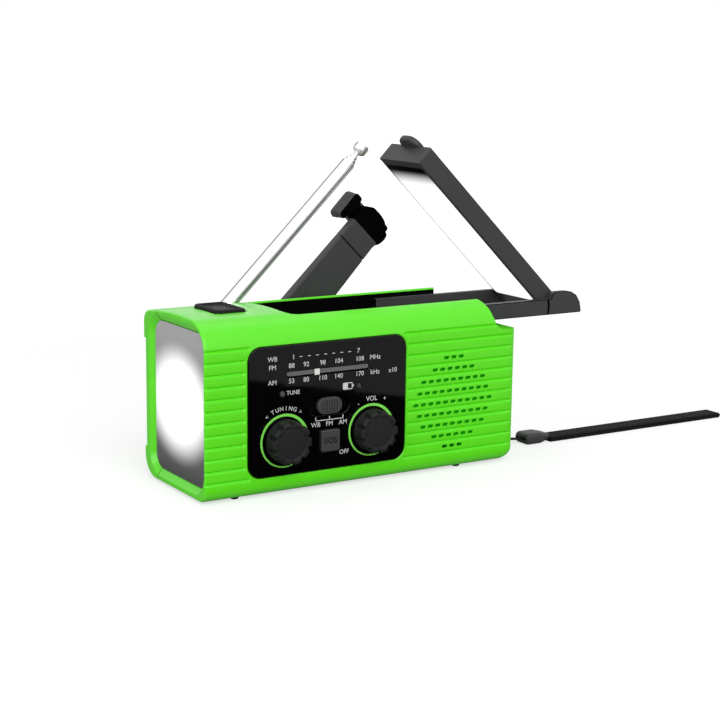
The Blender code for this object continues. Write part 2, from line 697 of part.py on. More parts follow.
for name, (x, z) in DOTS.items():
    rods(
        name,
        [("Y", x, z, PANEL_FRONT, BOARD_Y - GAP, LAMP_DOT_R)],
        "white plastic",
        segments=12,
    )

board = boxes(
    "main_board",
    [(BOARD_LEFT, BOARD_RIGHT, BOARD_Y, BOARD_Y + BOARD_THICK, BOARD_LOW, BOARD_HIGH)],
    "circuit board",
)
cut(board, rods("board_hole", [("Y", TUNE_X, TUNE_Z, BOARD_Y - 8, BOARD_Y + 12, SHAFT_R + 0.5)]))
BOARD_BACK = BOARD_Y + BOARD_THICK


def knob(name, x, z, shaft_end, joint):
    points = []
    for k in range(KNOB_SCALLOPS * 2):
        a = math.pi * k / KNOB_SCALLOPS
        radius = KNOB_R - (0.6 if k % 2 else 0)
        points.append((x + radius * math.cos(a), z + radius * math.sin(a)))
    made = slab(
        name,
        [points],
        "Y",
        PANEL_FRONT - GAP - KNOB_HIGH,
        PANEL_FRONT - GAP,
        "grey plastic",
        joint,
    )
    join(made, rods(name + "_shaft", [("Y", x, z, PANEL_FRONT - 3, shaft_end, SHAFT_R)], parent=joint))
    return made


tuning_knob = knob("tuning_knob", TUNE_X, TUNE_Z, TUNE_GEAR_Y + 0.2, tune_joint)
join(
    tuning_knob,
    slab(
        "tuning_pinion",
        [gear(TUNE_X, TUNE_Z, TUNE_TEETH, 0)],
        "Y",
        TUNE_GEAR_Y,
        TUNE_GEAR_Y + TUNE_GEAR_THICK,
        parent=tune_joint,
    ),
)
CAPACITOR_HALF = 8.0
CAPACITOR_BACK = TUNE_GEAR_Y - 0.8
capacitor = boxes(
    "tuning_capacitor",
    [
        (
            CAPACITOR_X - CAPACITOR_HALF,
            CAPACITOR_X + CAPACITOR_HALF,
            BOARD_BACK + GAP,
            CAPACITOR_BACK,
            TUNE_Z - CAPACITOR_HALF,
            TUNE_Z + CAPACITOR_HALF,
        )
    ],
    "white plastic",
)
cut(
    capacitor,
    rods(
        "capacitor_hole",
        [("Y", CAPACITOR_X, TUNE_Z, CAPACITOR_BACK - 4, CAPACITOR_BACK + 12, 1.8)],
        segments=10,
    ),
)
capacitor_gear = slab(
    "capacitor_gear",
    [gear(CAPACITOR_X, TUNE_Z, CAPACITOR_TEETH, 180 / CAPACITOR_TEETH)],
    "Y",
    TUNE_GEAR_Y,
    TUNE_GEAR_Y + TUNE_GEAR_THICK,
    "white plastic",
    capacitor_joint,
)
join(
    capacitor_gear,
    rods(
        "capacitor_shaft",
        [("Y", CAPACITOR_X, TUNE_Z, CAPACITOR_BACK - 3.5, TUNE_GEAR_Y + 0.4, 1.4)],
        parent=capacitor_joint,
        segments=10,
    ),
)

# The rack under the capacitor gear carries the pointer up and over the board
RACK_Z = TUNE_Z - MODULE * CAPACITOR_TEETH / 2
RACK_PITCH = math.pi * MODULE
rack = [(POINTER_X - 27.5, RACK_Z - 4.0), (POINTER_X + 14.0, RACK_Z - 4.0)]
rack.append((POINTER_X + 14.0, RACK_Z - 1.25 * MODULE))
for k in range(4, -8, -1):
    middle = CAPACITOR_X + RACK_PITCH * (k - 0.5)
    low, high = RACK_Z - 1.25 * MODULE, RACK_Z + 0.8 * MODULE
    rack += [
        (middle + TOOTH_SLACK * RACK_PITCH, low),
        (middle + 0.1 * RACK_PITCH, high),
        (middle - 0.1 * RACK_PITCH, high),
        (middle - TOOTH_SLACK * RACK_PITCH, low),
    ]
rack.append((POINTER_X - 27.5, RACK_Z - 1.25 * MODULE))
RACK_FRONT = TUNE_GEAR_Y - 0.2
ARM_FRONT = TUNE_GEAR_Y + TUNE_GEAR_THICK + 0.8
ARM_BACK = ARM_FRONT + 1.6
pointer = slab("dial_pointer", [rack], "Y", RACK_FRONT, ARM_BACK, "white plastic", pointer_joint)
join(
    pointer,
    boxes(
        "pointer_arm",
        [
            (
                POINTER_X - 3,
                POINTER_X + 3,
                ARM_FRONT,
                ARM_BACK - 0.1,
                RACK_Z - 3.2,
                DIAL_Z + POINTER_H / 2 + 0.5,
            )
        ],
        parent=pointer_joint,
    ),
    boxes(
        "pointer_bar",
        [
            (
                POINTER_X - POINTER_W / 2,
                POINTER_X + POINTER_W / 2,
                PANEL_FRONT + 0.7,
                ARM_FRONT + 0.8,
                DIAL_Z - POINTER_H / 2,
                DIAL_Z + POINTER_H / 2,
            )
        ],
        parent=pointer_joint,
    ),
)

volume_knob = knob("volume_knob", VOLUME_X, VOLUME_Z, BOARD_Y - 3.2, volume_joint)
potentiometer = boxes(
    "volume_potentiometer",
    [(VOLUME_X - 6.2, VOLUME_X + 6.2, BOARD_Y - 5.5, BOARD_Y - GAP, VOLUME_Z - 6.2, VOLUME_Z + 6.2)],
    "steel",
)
cut(potentiometer, rods("pot_hole", [("Y", VOLUME_X, VOLUME_Z, FRONT - 10, BOARD_Y - 2.6, SHAFT_R + 0.5)]))

switch_base = boxes(
    "band_switch_base",
    [(SWITCH_X - 8, SWITCH_X + 8, BOARD_Y - 4, BOARD_Y - GAP, SWITCH_Z - 4, SWITCH_Z + 4)],
    "steel",
)
slider = slab(
    "band_slider",
    [
        rounded(
            SWITCH_X - SLIDER_W / 2,
            SWITCH_X + SLIDER_W / 2,
            SWITCH_Z - SWITCH_H / 2 + 0.5,
            SWITCH_Z + SWITCH_H / 2 - 0.5,
            3.4,
        )
    ],
    "Y",
    PANEL_FRONT - 1.2,
    PANEL_FRONT + PANEL_THICK - 0.1,
    "grey plastic",
    band_joint,
)
slider_stem = [
    (SWITCH_X - 2, SWITCH_X + 2, PANEL_FRONT + 1, BOARD_Y - 4.3, SWITCH_Z - 1.5, SWITCH_Z + 1.5)
]
join(slider, boxes("slider_stem", slider_stem, parent=band_joint))

sos = slab(
    "sos_button",
    [
        rounded(
            SOS_X - SOS_SIZE / 2,
            SOS_X + SOS_SIZE / 2,
            SOS_Z - SOS_SIZE / 2,
            SOS_Z + SOS_SIZE / 2,
            1.0,
            2,
        )
    ],
    "Y",
    PANEL_FRONT - 1.2,
    PANEL_FRONT + PANEL_THICK + 1.4,
    "grey plastic",
    sos_joint,
)
flange = SOS_SIZE / 2 + 1.0
sos_flange = [
    (
        SOS_X - flange,
        SOS_X + flange,
        PANEL_FRONT + PANEL_THICK + GAP,
        PANEL_FRONT + PANEL_THICK + 1.5,
        SOS_Z - flange,
        SOS_Z + flange,
    )
]
sos_stem = [(SOS_X - 2, SOS_X + 2, PANEL_FRONT + 2, BOARD_Y - 1.6, SOS_Z - 2, SOS_Z + 2)]
join(sos, boxes("sos_flange", sos_flange, parent=sos_joint), boxes("sos_stem", sos_stem, parent=sos_joint))

# Speaker behind the slots
SPEAKER_Z = levels[0] + pitch * 4.5
SPEAKER_FRONT = FRONT + WALL + GAP
BASKET = [
    (0, SPEAKER_FRONT + 20),
    (11, SPEAKER_FRONT + 20),
    (11, SPEAKER_FRONT + 13),
    (SPEAKER_R - 3, SPEAKER_FRONT + 2),
    (SPEAKER_R, SPEAKER_FRONT + 2),
    (SPEAKER_R, SPEAKER_FRONT),
    (SPEAKER_R - 4, SPEAKER_FRONT),
    (SPEAKER_R - 4.6, SPEAKER_FRONT + 2),
    (9.6, SPEAKER_FRONT + 12.6),
    (0, SPEAKER_FRONT + 12.6),
]
turned("speaker_frame", BASKET, "Y", SPEAKER_X, SPEAKER_Z, "steel", segments=28)
CONE = [
    (0, SPEAKER_FRONT + 7.0),
    (5, SPEAKER_FRONT + 8.8),
    (SPEAKER_R - 6.2, SPEAKER_FRONT + 1.3),
    (SPEAKER_R - 5.0, SPEAKER_FRONT + 1.0),
    (SPEAKER_R - 5.0, SPEAKER_FRONT + 0.3),
    (SPEAKER_R - 6.4, SPEAKER_FRONT + 0.6),
    (5, SPEAKER_FRONT + 8.0),
    (0, SPEAKER_FRONT + 6.2),
]
turned("speaker_cone", CONE, "Y", SPEAKER_X, SPEAKER_Z, "black plastic", segments=28)

# Torch
slab(
    "torch_lens",
    [inset(rounded(*WINDOW, WINDOW_R), GAP)],
    "X",
    -HALF_L + 0.8,
    -HALF_L + END_WALL - 0.4,
    "clear plastic",
)
TORCH_Y = (WINDOW[0] + WINDOW[1]) / 2
TORCH_Z = (WINDOW[2] + WINDOW[3]) / 2
MOUTH_X = -HALF_L + END_WALL + GAP
THROAT_X = MOUTH_X + REFLECTOR_DEEP
mouth = rounded(WINDOW[0] + 1.3, WINDOW[1] - 0.4, WINDOW[2] + 0.8, WINDOW[3] - 0.8, WINDOW_R)


def reflector_ring(x, share, grow):
    """A ring between the mouth outline (share 1) and the round throat (share 0)."""
    ring = []
    for y, z in mouth:
        dy, dz = y - TORCH_Y, z - TORCH_Z
        size = math.hypot(dy, dz)
        radius = 4.0 + (size - 4.0) * share + grow
        ring.append((x, TORCH_Y + dy / size * radius, TORCH_Z + dz / size * radius))
    return ring


lofted(
    "torch_reflector",
    [
        reflector_ring(MOUTH_X, 1, 0),
        reflector_ring(MOUTH_X + 3.6, 0.72, 0),
        reflector_ring(MOUTH_X + 7.2, 0.32, 0),
        reflector_ring(THROAT_X, 0, 0),
        reflector_ring(THROAT_X + 0.8, 0, 0.8),
        reflector_ring(MOUTH_X + 7.8, 0.32, 0.8),
        reflector_ring(MOUTH_X + 4.2, 0.72, 0.6),
        reflector_ring(MOUTH_X + 0.8, 1, 0.3),
    ],
    "chrome",
    closed=True,
)
led_face = THROAT_X + 1.1
throat = [Vector((y - TORCH_Y, z - TORCH_Z)) for _, y, z in reflector_ring(THROAT_X, 0, 0)]
clear = min((a + b).length / 2 for a, b in zip(throat, throat[1:] + throat[:1]))
DOME_R = clear - 0.143
turned(
    "torch_led_board",
    [
        (0, led_face + 1.4),
        (9, led_face + 1.4),
        (9, led_face),
        (DOME_R + 0.2, led_face),
        (DOME_R, led_face - 1.2),
        (DOME_R - 1.2, led_face - 2.2),
        (0, led_face - 2.6),
    ],
    "X",
    TORCH_Y,
    TORCH_Z,
    "white plastic",
    segments=20,
)
torch_button = slab(
    "torch_button",
    [
        rounded(
            BUTTON_X - BUTTON_W / 2,
            BUTTON_X + BUTTON_W / 2,
            BUTTON_Y - BUTTON_D / 2,
            BUTTON_Y + BUTTON_D / 2,
            2.8,
            3,
        )
    ],
    "Z",
    BUTTON_LOW - 0.6,
    CROWN_Z + BUTTON_PROUD,
    "black plastic",
    torch_joint,
)
torch_flange = [
    (
        BUTTON_X - BUTTON_W / 2 - 1.2,
        BUTTON_X + BUTTON_W / 2 + 1.2,
        BUTTON_Y - BUTTON_D / 2 - 1.2,
        BUTTON_Y + BUTTON_D / 2 + 1.2,
        BUTTON_LOW - 1.2,
        BUTTON_LOW,
    )
]
join(torch_button, boxes("torch_flange", torch_flange, parent=torch_joint))
dish = slab(
    "torch_button_dish",
    [
        rounded(
            BUTTON_X - BUTTON_W / 2 + 2,
            BUTTON_X + BUTTON_W / 2 - 2,
            BUTTON_Y - BUTTON_D / 2 + 2,
            BUTTON_Y + BUTTON_D / 2 - 2,
            2.0,
            2,
        )
    ],
    "Z",
    CROWN_Z + BUTTON_PROUD - 0.8,
    ABOVE,
    parent=torch_joint,
)
cut(torch_button, dish)

# Reading lamp: tray, then the arm drawn closed about its hinge
CHEEK_LEFT = LAMP_X - 0.5
tray_side = [
    (TRAY_LEFT, TRAY_LOW),
    (TRAY_RIGHT, TRAY_LOW),
    (TRAY_RIGHT, TRAY_LOW + 1.6),
    (TRAY_RIGHT - 0.8, TRAY_LOW + 5.2),
    (TRAY_RIGHT - 3.0, CHEEK_HIGH - 2.2),
    (TRAY_RIGHT - 6.0, CHEEK_HIGH - 0.5),
    (TRAY_RIGHT - 9.0, CHEEK_HIGH),
    (CHEEK_LEFT + 2.5, CHEEK_HIGH),
    (CHEEK_LEFT + 0.8, CHEEK_HIGH - 0.8),
    (CHEEK_LEFT, RAIL_HIGH),
    (TRAY_LEFT, RAIL_HIGH),
]
tray = slab("lamp_tray", [tray_side], "Y", -RAIL_OUT, RAIL_OUT, "black plastic", tray_joint)
BAR_LEFT = TRAY_RIGHT - 6
cut(
    tray,
    boxes(
        "tray_trough",
        [(LEFT, BAR_LEFT, -RAIL_IN, RAIL_IN, TRAY_LOW + TRAY_FLOOR, ABOVE)],
        parent=tray_joint,
    ),
    boxes(
        "tray_end",
        [(LAMP_X - 9.5, BAR_LEFT - 0.01, -RAIL_IN, RAIL_IN, TRAY_LOW - 5.5, TRAY_LOW + 4.5)],
        parent=tray_joint,
    ),
    boxes(
        "tray_bar",
        [(BAR_LEFT - 1, TRAY_RIGHT + 15, -RAIL_IN, RAIL_IN, TRAY_LOW + 3, ABOVE)],
        parent=tray_joint,
    ),
    rods(
        "tray_pin_hole",
        [("Y", LAMP_X, LAMP_Z, -DEPTH, DEPTH, HINGE_PIN_R + GAP)],
        parent=tray_joint,
        segments=12,
    ),
)
rods(
    "lamp_hinge_pin",
    [("Y", LAMP_X, LAMP_Z, -RAIL_OUT + 0.2, RAIL_OUT - 0.2, HINGE_PIN_R)],
    "steel",
    tray_joint,
    segments=12,
)
arm_side = [
    (-LAMP_LONG, -LAMP_DOWN),
    (2.7, -LAMP_DOWN),
    (3.6, -1.9),
    (4.1, 0),
    (3.8, 1.4),
    (2.4, 3.8),
    (-1.5, LAMP_UP),
    (-LAMP_LONG, LAMP_UP),
]
lamp_arm = slab(
    "lamp_arm", [arm_side], "Y", -LAMP_HALF_W, LAMP_HALF_W, "black plastic", lamp_joint, local=True
)
SOLAR = (-LAMP_LONG + 5.5, -8.5, LAMP_HALF_W - 2.0)
LED = (-LAMP_LONG + 7.0, -10.0, LAMP_HALF_W - 2.4)
TAB_HIGH = LAMP_UP + TAB_RISE
tab = [
    (-LAMP_LONG - TAB_LONG, -LAMP_LONG + 3, -TAB_HALF_W, TAB_HALF_W, TAB_HIGH - TAB_THICK, TAB_HIGH)
]
join(lamp_arm, boxes("lamp_tab", tab, parent=lamp_joint, local=True))
cut(
    lamp_arm,
    boxes(
        "solar_pocket",
        [(SOLAR[0], SOLAR[1], -SOLAR[2], SOLAR[2], LAMP_UP - 1.6, 20)],
        parent=lamp_joint,
        local=True,
    ),
    boxes(
        "led_pocket",
        [(LED[0], LED[1], -LED[2], LED[2], -20, LAMP_UP - 3.4)],
        parent=lamp_joint,
        local=True,
    ),
    rods(
        "lamp_bore",
        [("Y", 0, 0, -DEPTH, DEPTH, HINGE_PIN_R + GAP)],
        parent=lamp_joint,
        local=True,
        segments=12,
    ),
)
boxes(
    "solar_panel",
    [
        (
            SOLAR[0] + GAP,
            SOLAR[1] - GAP,
            -SOLAR[2] + GAP,
            SOLAR[2] - GAP,
            LAMP_UP - 1.3,
            LAMP_UP - 0.2,
        )
    ],
    "solar glass",
    lamp_joint,
    True,
)
boxes(
    "lamp_lens",
    [(LED[0] + GAP, LED[1] - GAP, -LED[2] + GAP, LED[2] - GAP, -LAMP_DOWN + 0.1, -LAMP_DOWN + 1.4)],
    "clear plastic",
    lamp_joint,
    True,
)
boxes(
    "lamp_led_board",
    [(LED[0] + GAP, LED[1] - GAP, -LED[2] + GAP, LED[2] - GAP, LAMP_UP - 5.2, LAMP_UP - 3.7)],
    "white plastic",
    lamp_joint,
    True,
)

# Antenna, drawn along +X from its pivot
(outer_r, outer_in), (second_r, second_in), (third_r, third_in) = MAST_RADII


def mast_tube(name, start, end, radius, inner, stop):
    """A tube along local X, open at its far end and closed at its near end."""
    made = rods(name, [("X", 0, 0, start, end, radius)], "chrome", mast_joint, True)
    bore = [("X", 0, 0, stop, end + 5, inner)]
    cut(made, rods(name + "_bore", bore, parent=mast_joint, local=True))
    return made


LUG_R = 3.4
mast = rods("antenna_tube", [("X", 0, 0, 2.7, MAST_END, outer_r)], "chrome", mast_joint, True)
join(mast, rods("mast_lug", [("Y", 0, 0, -2.8, 2.8, LUG_R)], parent=mast_joint, local=True))
cut(
    mast,
    rods("mast_bore", [("X", 0, 0, 6.0, MAST_END + 5, outer_in)], parent=mast_joint, local=True),
    rods("mast_pivot", [("Y", 0, 0, -9, 9, 1.6)], parent=mast_joint, local=True, segments=12),
)
mast_tube("antenna_section_2", 7.0, MAST_END + MAST_STEP, second_r, second_in, 9.0)
mast_tube("antenna_section_3", 10.0, MAST_END + 2 * MAST_STEP, third_r, third_in, 12.0)
turned(
    "antenna_tip",
    [
        (0, CAP_END),
        (CAP_R * 0.7, CAP_END - 0.3),
        (CAP_R, CAP_END - 1.4),
        (CAP_R, MAST_END + 7.0),
        (CAP_R * 0.6, MAST_END + 6.0),
        (ROD_R, MAST_END + 5.6),
        (ROD_R, 13.0),
        (0, 13.0),
    ],
    "X",
    0,
    0,
    "chrome",
    mast_joint,
    True,
    16,
)
turned(
    "antenna_screw",
    [
        (0, HALF_D + 0.3),
        (2.4, HALF_D + 0.1),
        (2.4, MAST_Y + 2.8 + GAP),
        (1.3, MAST_Y + 2.8 + GAP),
        (1.3, GROOVE_Y - 1.4),
        (0, GROOVE_Y - 1.4),
    ],
    "Y",
    MAST_X,
    MAST_Z,
    "steel",
    segments=14,
)

# Crank: arm, shaft, gears and folding grip
ARM_BACK_Y = ARM_THICK
arm_outline = (
    arc(0, 0, ARM_HUB_R, 78, 282, 10)
    + [(ARM_TIP, -ARM_TIP_HALF_W), (ARM_TIP, -KNUCKLE_HALF_W)]
    + [(GRIP_PIN_S, -KNUCKLE_HALF_W), (GRIP_PIN_S, KNUCKLE_HALF_W)]
    + [(ARM_TIP, KNUCKLE_HALF_W), (ARM_TIP, ARM_TIP_HALF_W)]
)
crank_arm = slab("crank_arm", [arm_outline], "Y", 0, ARM_BACK_Y, "black plastic", crank_joint, local=True)
pin_y = GRIP_PIN_Y - ARM_Y
knuckle = [
    (GRIP_PIN_S - KNUCKLE_R, 0.02),
    (GRIP_PIN_S + KNUCKLE_NOSE, 0.02),
    (GRIP_PIN_S + KNUCKLE_NOSE, pin_y - 2.0),
]
knuckle += arc(GRIP_PIN_S, pin_y, KNUCKLE_R, 0, 180, 8)
join(
    crank_arm,
    slab(
        "knuckle",
        [knuckle],
        "Z",
        -KNUCKLE_HALF_W + 0.02,
        KNUCKLE_HALF_W - 0.02,
        parent=crank_joint,
        local=True,
    ),
)
GRIP_PIN_R = 1.2
cut(
    crank_arm,
    rods(
        "knuckle_bore",
        [("Z", GRIP_PIN_S, pin_y, -30, 30, GRIP_PIN_R + GAP)],
        parent=crank_joint,
        local=True,
        segments=12,
    ),
    rods("arm_screw_way", [("Y", 0, 0, -10, 20, 1.6)], parent=crank_joint, local=True, segments=12),
)
rods(
    "grip_pin",
    [("Z", GRIP_PIN_S, pin_y, -EAR_OUT + 0.4, EAR_OUT - 0.4, GRIP_PIN_R)],
    "steel",
    crank_joint,
    True,
    segments=12,
)
grip_joint = empty(
    "grip_axis",
    HUB_X + GRIP_PIN_S * math.cos(math.radians(CRANK_TILT)),
    GRIP_PIN_Y,
    HUB_Z + GRIP_PIN_S * math.sin(math.radians(CRANK_TILT)),
    -CRANK_TILT,
    crank_joint,
)
grip_high = GRIP_END_Y - GRIP_PIN_Y
grip_low = KNUCKLE_R + 0.4
ear_in = KNUCKLE_HALF_W + 0.4
grip_front = (
    [(-EAR_OUT, 0), (-ear_in, 0), (-ear_in, grip_low), (ear_in, grip_low), (ear_in, 0), (EAR_OUT, 0)]
    + [(EAR_OUT, 3.0), (GRIP_HALF_W, grip_low + 2)]
    + arc(GRIP_HALF_W - GRIP_CORNER, grip_high - GRIP_CORNER, GRIP_CORNER, 0, 90, 4)
    + arc(-GRIP_HALF_W + GRIP_CORNER, grip_high - GRIP_CORNER, GRIP_CORNER, 90, 180, 4)
    + [(-GRIP_HALF_W, grip_low + 2), (-EAR_OUT, 3.0)]
)
crank_grip = slab(
    "crank_grip",
    [[(y, z) for z, y in grip_front]],
    "X",
    -GRIP_BACK,
    GRIP_THICK - GRIP_BACK,
    "black plastic",
    grip_joint,
    local=True,
)
ear = circle(0, 0, EAR_R, 16)
grip_ears = []
for side, (low, high) in enumerate(((-EAR_OUT, -ear_in), (ear_in, EAR_OUT))):
    grip_ears.append(
        slab(
            f"grip_ear_{side}",
            [ear],
            "Z",
            low + 0.02,
            high - 0.02,
            parent=grip_joint,
            local=True,
        )
    )
join(crank_grip, *grip_ears)
cut(
    crank_grip,
    rods(
        "grip_bore",
        [("Z", 0, 0, -30, 30, GRIP_PIN_R + GAP)],
        parent=grip_joint,
        local=True,
        segments=12,
    ),
    boxes(
        "arm_room",
        [(-30, -GRIP_REST, -30, 30, -ARM_TIP_HALF_W - 0.6, ARM_TIP_HALF_W + 0.6)],
        parent=grip_joint,
        local=True,
    ),
)
SHAFT_FRONT = PLATE_Y - 0.3
crank_shaft = turned(
    "crank_shaft",
    [
        (0, ARM_Y - GAP),
        (9, ARM_Y - GAP),
        (9, RECESS_Y + 0.5),
        (CRANK_SHAFT_R, RECESS_Y + 0.5),
        (CRANK_SHAFT_R, SHAFT_FRONT),
        (0, SHAFT_FRONT),
    ],
    "Y",
    HUB_X,
    HUB_Z,
    "steel",
    crank_joint,
    segments=20,
)
cut(
    crank_shaft,
    rods(
        "shaft_tap",
        [("Y", HUB_X, HUB_Z, CRANK_SCREW_END - 0.4, ARM_Y + 9, 1.6)],
        parent=crank_joint,
        segments=12,
    ),
)
turned(
    "crank_screw",
    [
        (0, ARM_Y + ARM_THICK + 2.2),
        (2.6, ARM_Y + ARM_THICK + 1.9),
        (3.4, ARM_Y + ARM_THICK + 1.0),
        (3.4, ARM_Y + ARM_THICK + GAP),
        (1.3, ARM_Y + ARM_THICK + GAP),
        (1.3, CRANK_SCREW_END),
        (0, CRANK_SCREW_END),
    ],
    "Y",
    HUB_X,
    HUB_Z,
    "steel",
    crank_joint,
    segments=14,
)
crank_gear = slab(
    "crank_gear",
    [gear(HUB_X, HUB_Z, CRANK_TEETH, 0)],
    "Y",
    CRANK_GEAR_Y,
    CRANK_GEAR_Y + GEAR_THICK,
    "white plastic",
    crank_joint,
)
cut(
    crank_gear,
    rods(
        "gear_bore",
        [("Y", HUB_X, HUB_Z, PLATE_Y - 2, HALF_D, CRANK_SHAFT_R + GAP)],
        parent=crank_joint,
        segments=20,
    ),
)
idler = slab(
    "idler_gear",
    [gear(IDLER_X, HUB_Z, IDLER_LARGE, 0)],
    "Y",
    IDLER_Y,
    IDLER_Y + GEAR_THICK,
    "white plastic",
    idler_joint,
)
AXLE_R = 1.3
join(
    idler,
    slab(
        "idler_pinion",
        [gear(IDLER_X, HUB_Z, IDLER_SMALL, 180 / IDLER_SMALL)],
        "Y",
        IDLER_Y + 1,
        CRANK_GEAR_Y + GEAR_THICK + 0.3,
        parent=idler_joint,
    ),
)
cut(
    idler,
    rods(
        "idler_bore",
        [("Y", IDLER_X, HUB_Z, PLATE_Y - 12, HALF_D + 10, AXLE_R + GAP)],
        parent=idler_joint,
        segments=12,
    ),
)
pinion = slab(
    "dynamo_pinion",
    [gear(IDLER_X, DYNAMO_Z, DYNAMO_TEETH, 180 / DYNAMO_TEETH)],
    "Y",
    IDLER_Y,
    IDLER_Y + GEAR_THICK,
    "brass",
    rotor_joint,
)
join(
    pinion,
    rods(
        "rotor_shaft",
        [("Y", IDLER_X, DYNAMO_Z, MOTOR_BACK - 3, IDLER_Y + 0.5, 1.0)],
        parent=rotor_joint,
        segments=10,
    ),
)
motor = rods(
    "dynamo_motor",
    [("Y", IDLER_X, DYNAMO_Z, MOTOR_BACK - MOTOR_LONG, MOTOR_BACK, MOTOR_R)],
    "steel",
    segments=24,
)
cut(motor, rods("motor_hole", [("Y", IDLER_X, DYNAMO_Z, MOTOR_BACK - 4, MOTOR_BACK + 8, 1.4)], segments=10))
gear_plate = slab(
    "gear_plate",
    [rounded(HUB_X - 24, IDLER_X + 18.5, DYNAMO_Z - 8, HUB_Z + 17, 5, 3)],
    "Y",
    PLATE_Y,
    PLATE_Y + PLATE_THICK,
    "steel",
)
STANDS = ((HUB_X - 20, DYNAMO_Z - 4), (HUB_X + 10, DYNAMO_Z - 3), (IDLER_X + 15.6, HUB_Z + 14.4))
join(
    gear_plate,
    rods(
        "plate_stands",
        [("Y", x, z, PLATE_Y + 0.4, BACK_INNER - GAP, 1.8) for x, z in STANDS],
        segments=12,
    ),
    rods("idler_axle", [("Y", IDLER_X, HUB_Z, PLATE_Y + 0.4, BACK_INNER - 1, AXLE_R)], segments=12),
)
cut(
    gear_plate,
    rods("plate_shaft_hole", [("Y", HUB_X, HUB_Z, PLATE_Y - 12, HALF_D, CRANK_SHAFT_R + GAP)], segments=20),
    rods("plate_rotor_hole", [("Y", IDLER_X, DYNAMO_Z, PLATE_Y - 12, HALF_D, 1.5)], segments=12),
)

# Ferrite aerial, battery and its door
ROD_Y, ROD_Z, FERRITE_R = 2.0, CROWN_Z - 21.5, 4.5
ROD_LEFT = BAY_LEFT - 15.8
rods("ferrite_rod", [("X", ROD_Y, ROD_Z, ROD_LEFT, ROD_LEFT + 70, FERRITE_R)], "ferrite")
coil = rods("ferrite_coil", [("X", ROD_Y, ROD_Z, ROD_LEFT + 10, ROD_LEFT + 35, FERRITE_R + 1.4)], "copper")
cut(coil, rods("coil_bore", [("X", ROD_Y, ROD_Z, ROD_LEFT - 10, ROD_LEFT + 80, FERRITE_R + GAP)]))
turned(
    "battery_cell",
    [
        (0, CELL_X + CELL_LONG / 2),
        (2.6, CELL_X + CELL_LONG / 2),
        (2.6, CELL_X + CELL_LONG / 2 - 1),
        (CELL_R, CELL_X + CELL_LONG / 2 - 1),
        (CELL_R, CELL_X - CELL_LONG / 2),
        (0, CELL_X - CELL_LONG / 2),
    ],
    "X",
    CELL_Y,
    CELL_Z,
    "battery wrap",
    segments=24,
)
slab(
    "battery_door",
    [inset(rounded(*DOOR, 3, 3), GAP)],
    "Y",
    RECESS_Y - DOOR_THICK,
    RECESS_Y,
    "green plastic",
)

# Feet, screws and sockets
for name, (x, y) in FEET.items():
    turned(
        name,
        [
            (0, FLOOR_GAP + 1.6),
            (1.5, FLOOR_GAP + 1.6),
            (1.5, FLOOR_GAP - GAP),
            (FOOT_R, FLOOR_GAP - GAP),
            (FOOT_R, 0),
            (0, 0),
        ],
        "Z",
        x,
        y,
        "rubber",
        segments=14,
    )
for number, (x, z) in enumerate(SCREWS, 1):
    turned(
        f"housing_screw_{number}",
        [
            (0, HEAD_SEAT + 2.2),
            (SCREW_HEAD_R, HEAD_SEAT + 1.9),
            (SCREW_HEAD_R, HEAD_SEAT + GAP),
            (SCREW_R, HEAD_SEAT + GAP),
            (SCREW_R, SCREW_END + 0.8),
            (0, SCREW_END),
        ],
        "Y",
        x,
        z,
        "steel",
        segments=12,
    )


def socket(name, z, thick, tall, deep, wall, kind):
    right = HALF_L + 0.1
    made = boxes(
        name,
        [(right - deep, right, USB_Y - thick / 2, USB_Y + thick / 2, z - tall / 2, z + tall / 2)],
        kind,
    )
    half_t, half_h = thick / 2 - wall, tall / 2 - wall
    inside = [(right - deep + 1, right + 2, USB_Y - half_t, USB_Y + half_t, z - half_h, z + half_h)]
    cut(made, boxes(name + "_mouth", inside))
    tongue = (USB_Y + 0.3, USB_Y + half_t - 0.35, z - half_h + 1.2, z + half_h - 1.2)
    join(made, boxes(name + "_tongue", [(right - deep + 0.5, right - 1.2, *tongue)]))


socket("usb_output_socket", USB_Z, USB_THICK, USB_TALL, USB_DEEP, 0.4, "steel")
socket("charging_socket", CHARGE_Z, CHARGE_THICK, CHARGE_TALL, CHARGE_DEEP, 0.4, "steel")

# Wrist strap, lying on the table to the right
cord_path = [
    (HALF_L - 8, STRAP_HOLE_Z),
    (HALF_L + 2, STRAP_HOLE_Z),
    (HALF_L + 8, STRAP_HOLE_Z - 1.2),
    (CLAMP_LEFT - 8, 3.4),
    (CLAMP_LEFT - 2, CLAMP_HIGH / 2),
    (CLAMP_LEFT - GAP, CLAMP_HIGH / 2),
]
cord_curve = bpy.data.curves.new("strap_cord", "CURVE")
cord_curve.dimensions = "3D"
cord_curve.bevel_depth = CORD_R * MM
cord_curve.bevel_resolution = 1
cord_curve.use_fill_caps = True
cord_spline = cord_curve.splines.new("POLY")
cord_spline.points.add(len(cord_path) - 1)
for point, (x, z) in zip(cord_spline.points, cord_path):
    point.co = (x * MM, STRAP_Y * MM, z * MM, 1)
added("strap_cord", cord_curve, "webbing", ROOT)
clamp_side = [
    (STRAP_Y - CLAMP_W / 2, CLAMP_HIGH * 0.2),
    (STRAP_Y - CLAMP_W * 0.4, 0),
    (STRAP_Y + CLAMP_W * 0.4, 0),
    (STRAP_Y + CLAMP_W / 2, CLAMP_HIGH * 0.2),
    (STRAP_Y + CLAMP_W / 2, CLAMP_HIGH * 0.8),
    (STRAP_Y + CLAMP_W * 0.4, CLAMP_HIGH),
    (STRAP_Y - CLAMP_W * 0.4, CLAMP_HIGH),
    (STRAP_Y - CLAMP_W / 2, CLAMP_HIGH * 0.8),
]
slab("strap_clamp", [clamp_side], "X", CLAMP_LEFT, CLAMP_LEFT + CLAMP_LONG, "black plastic")
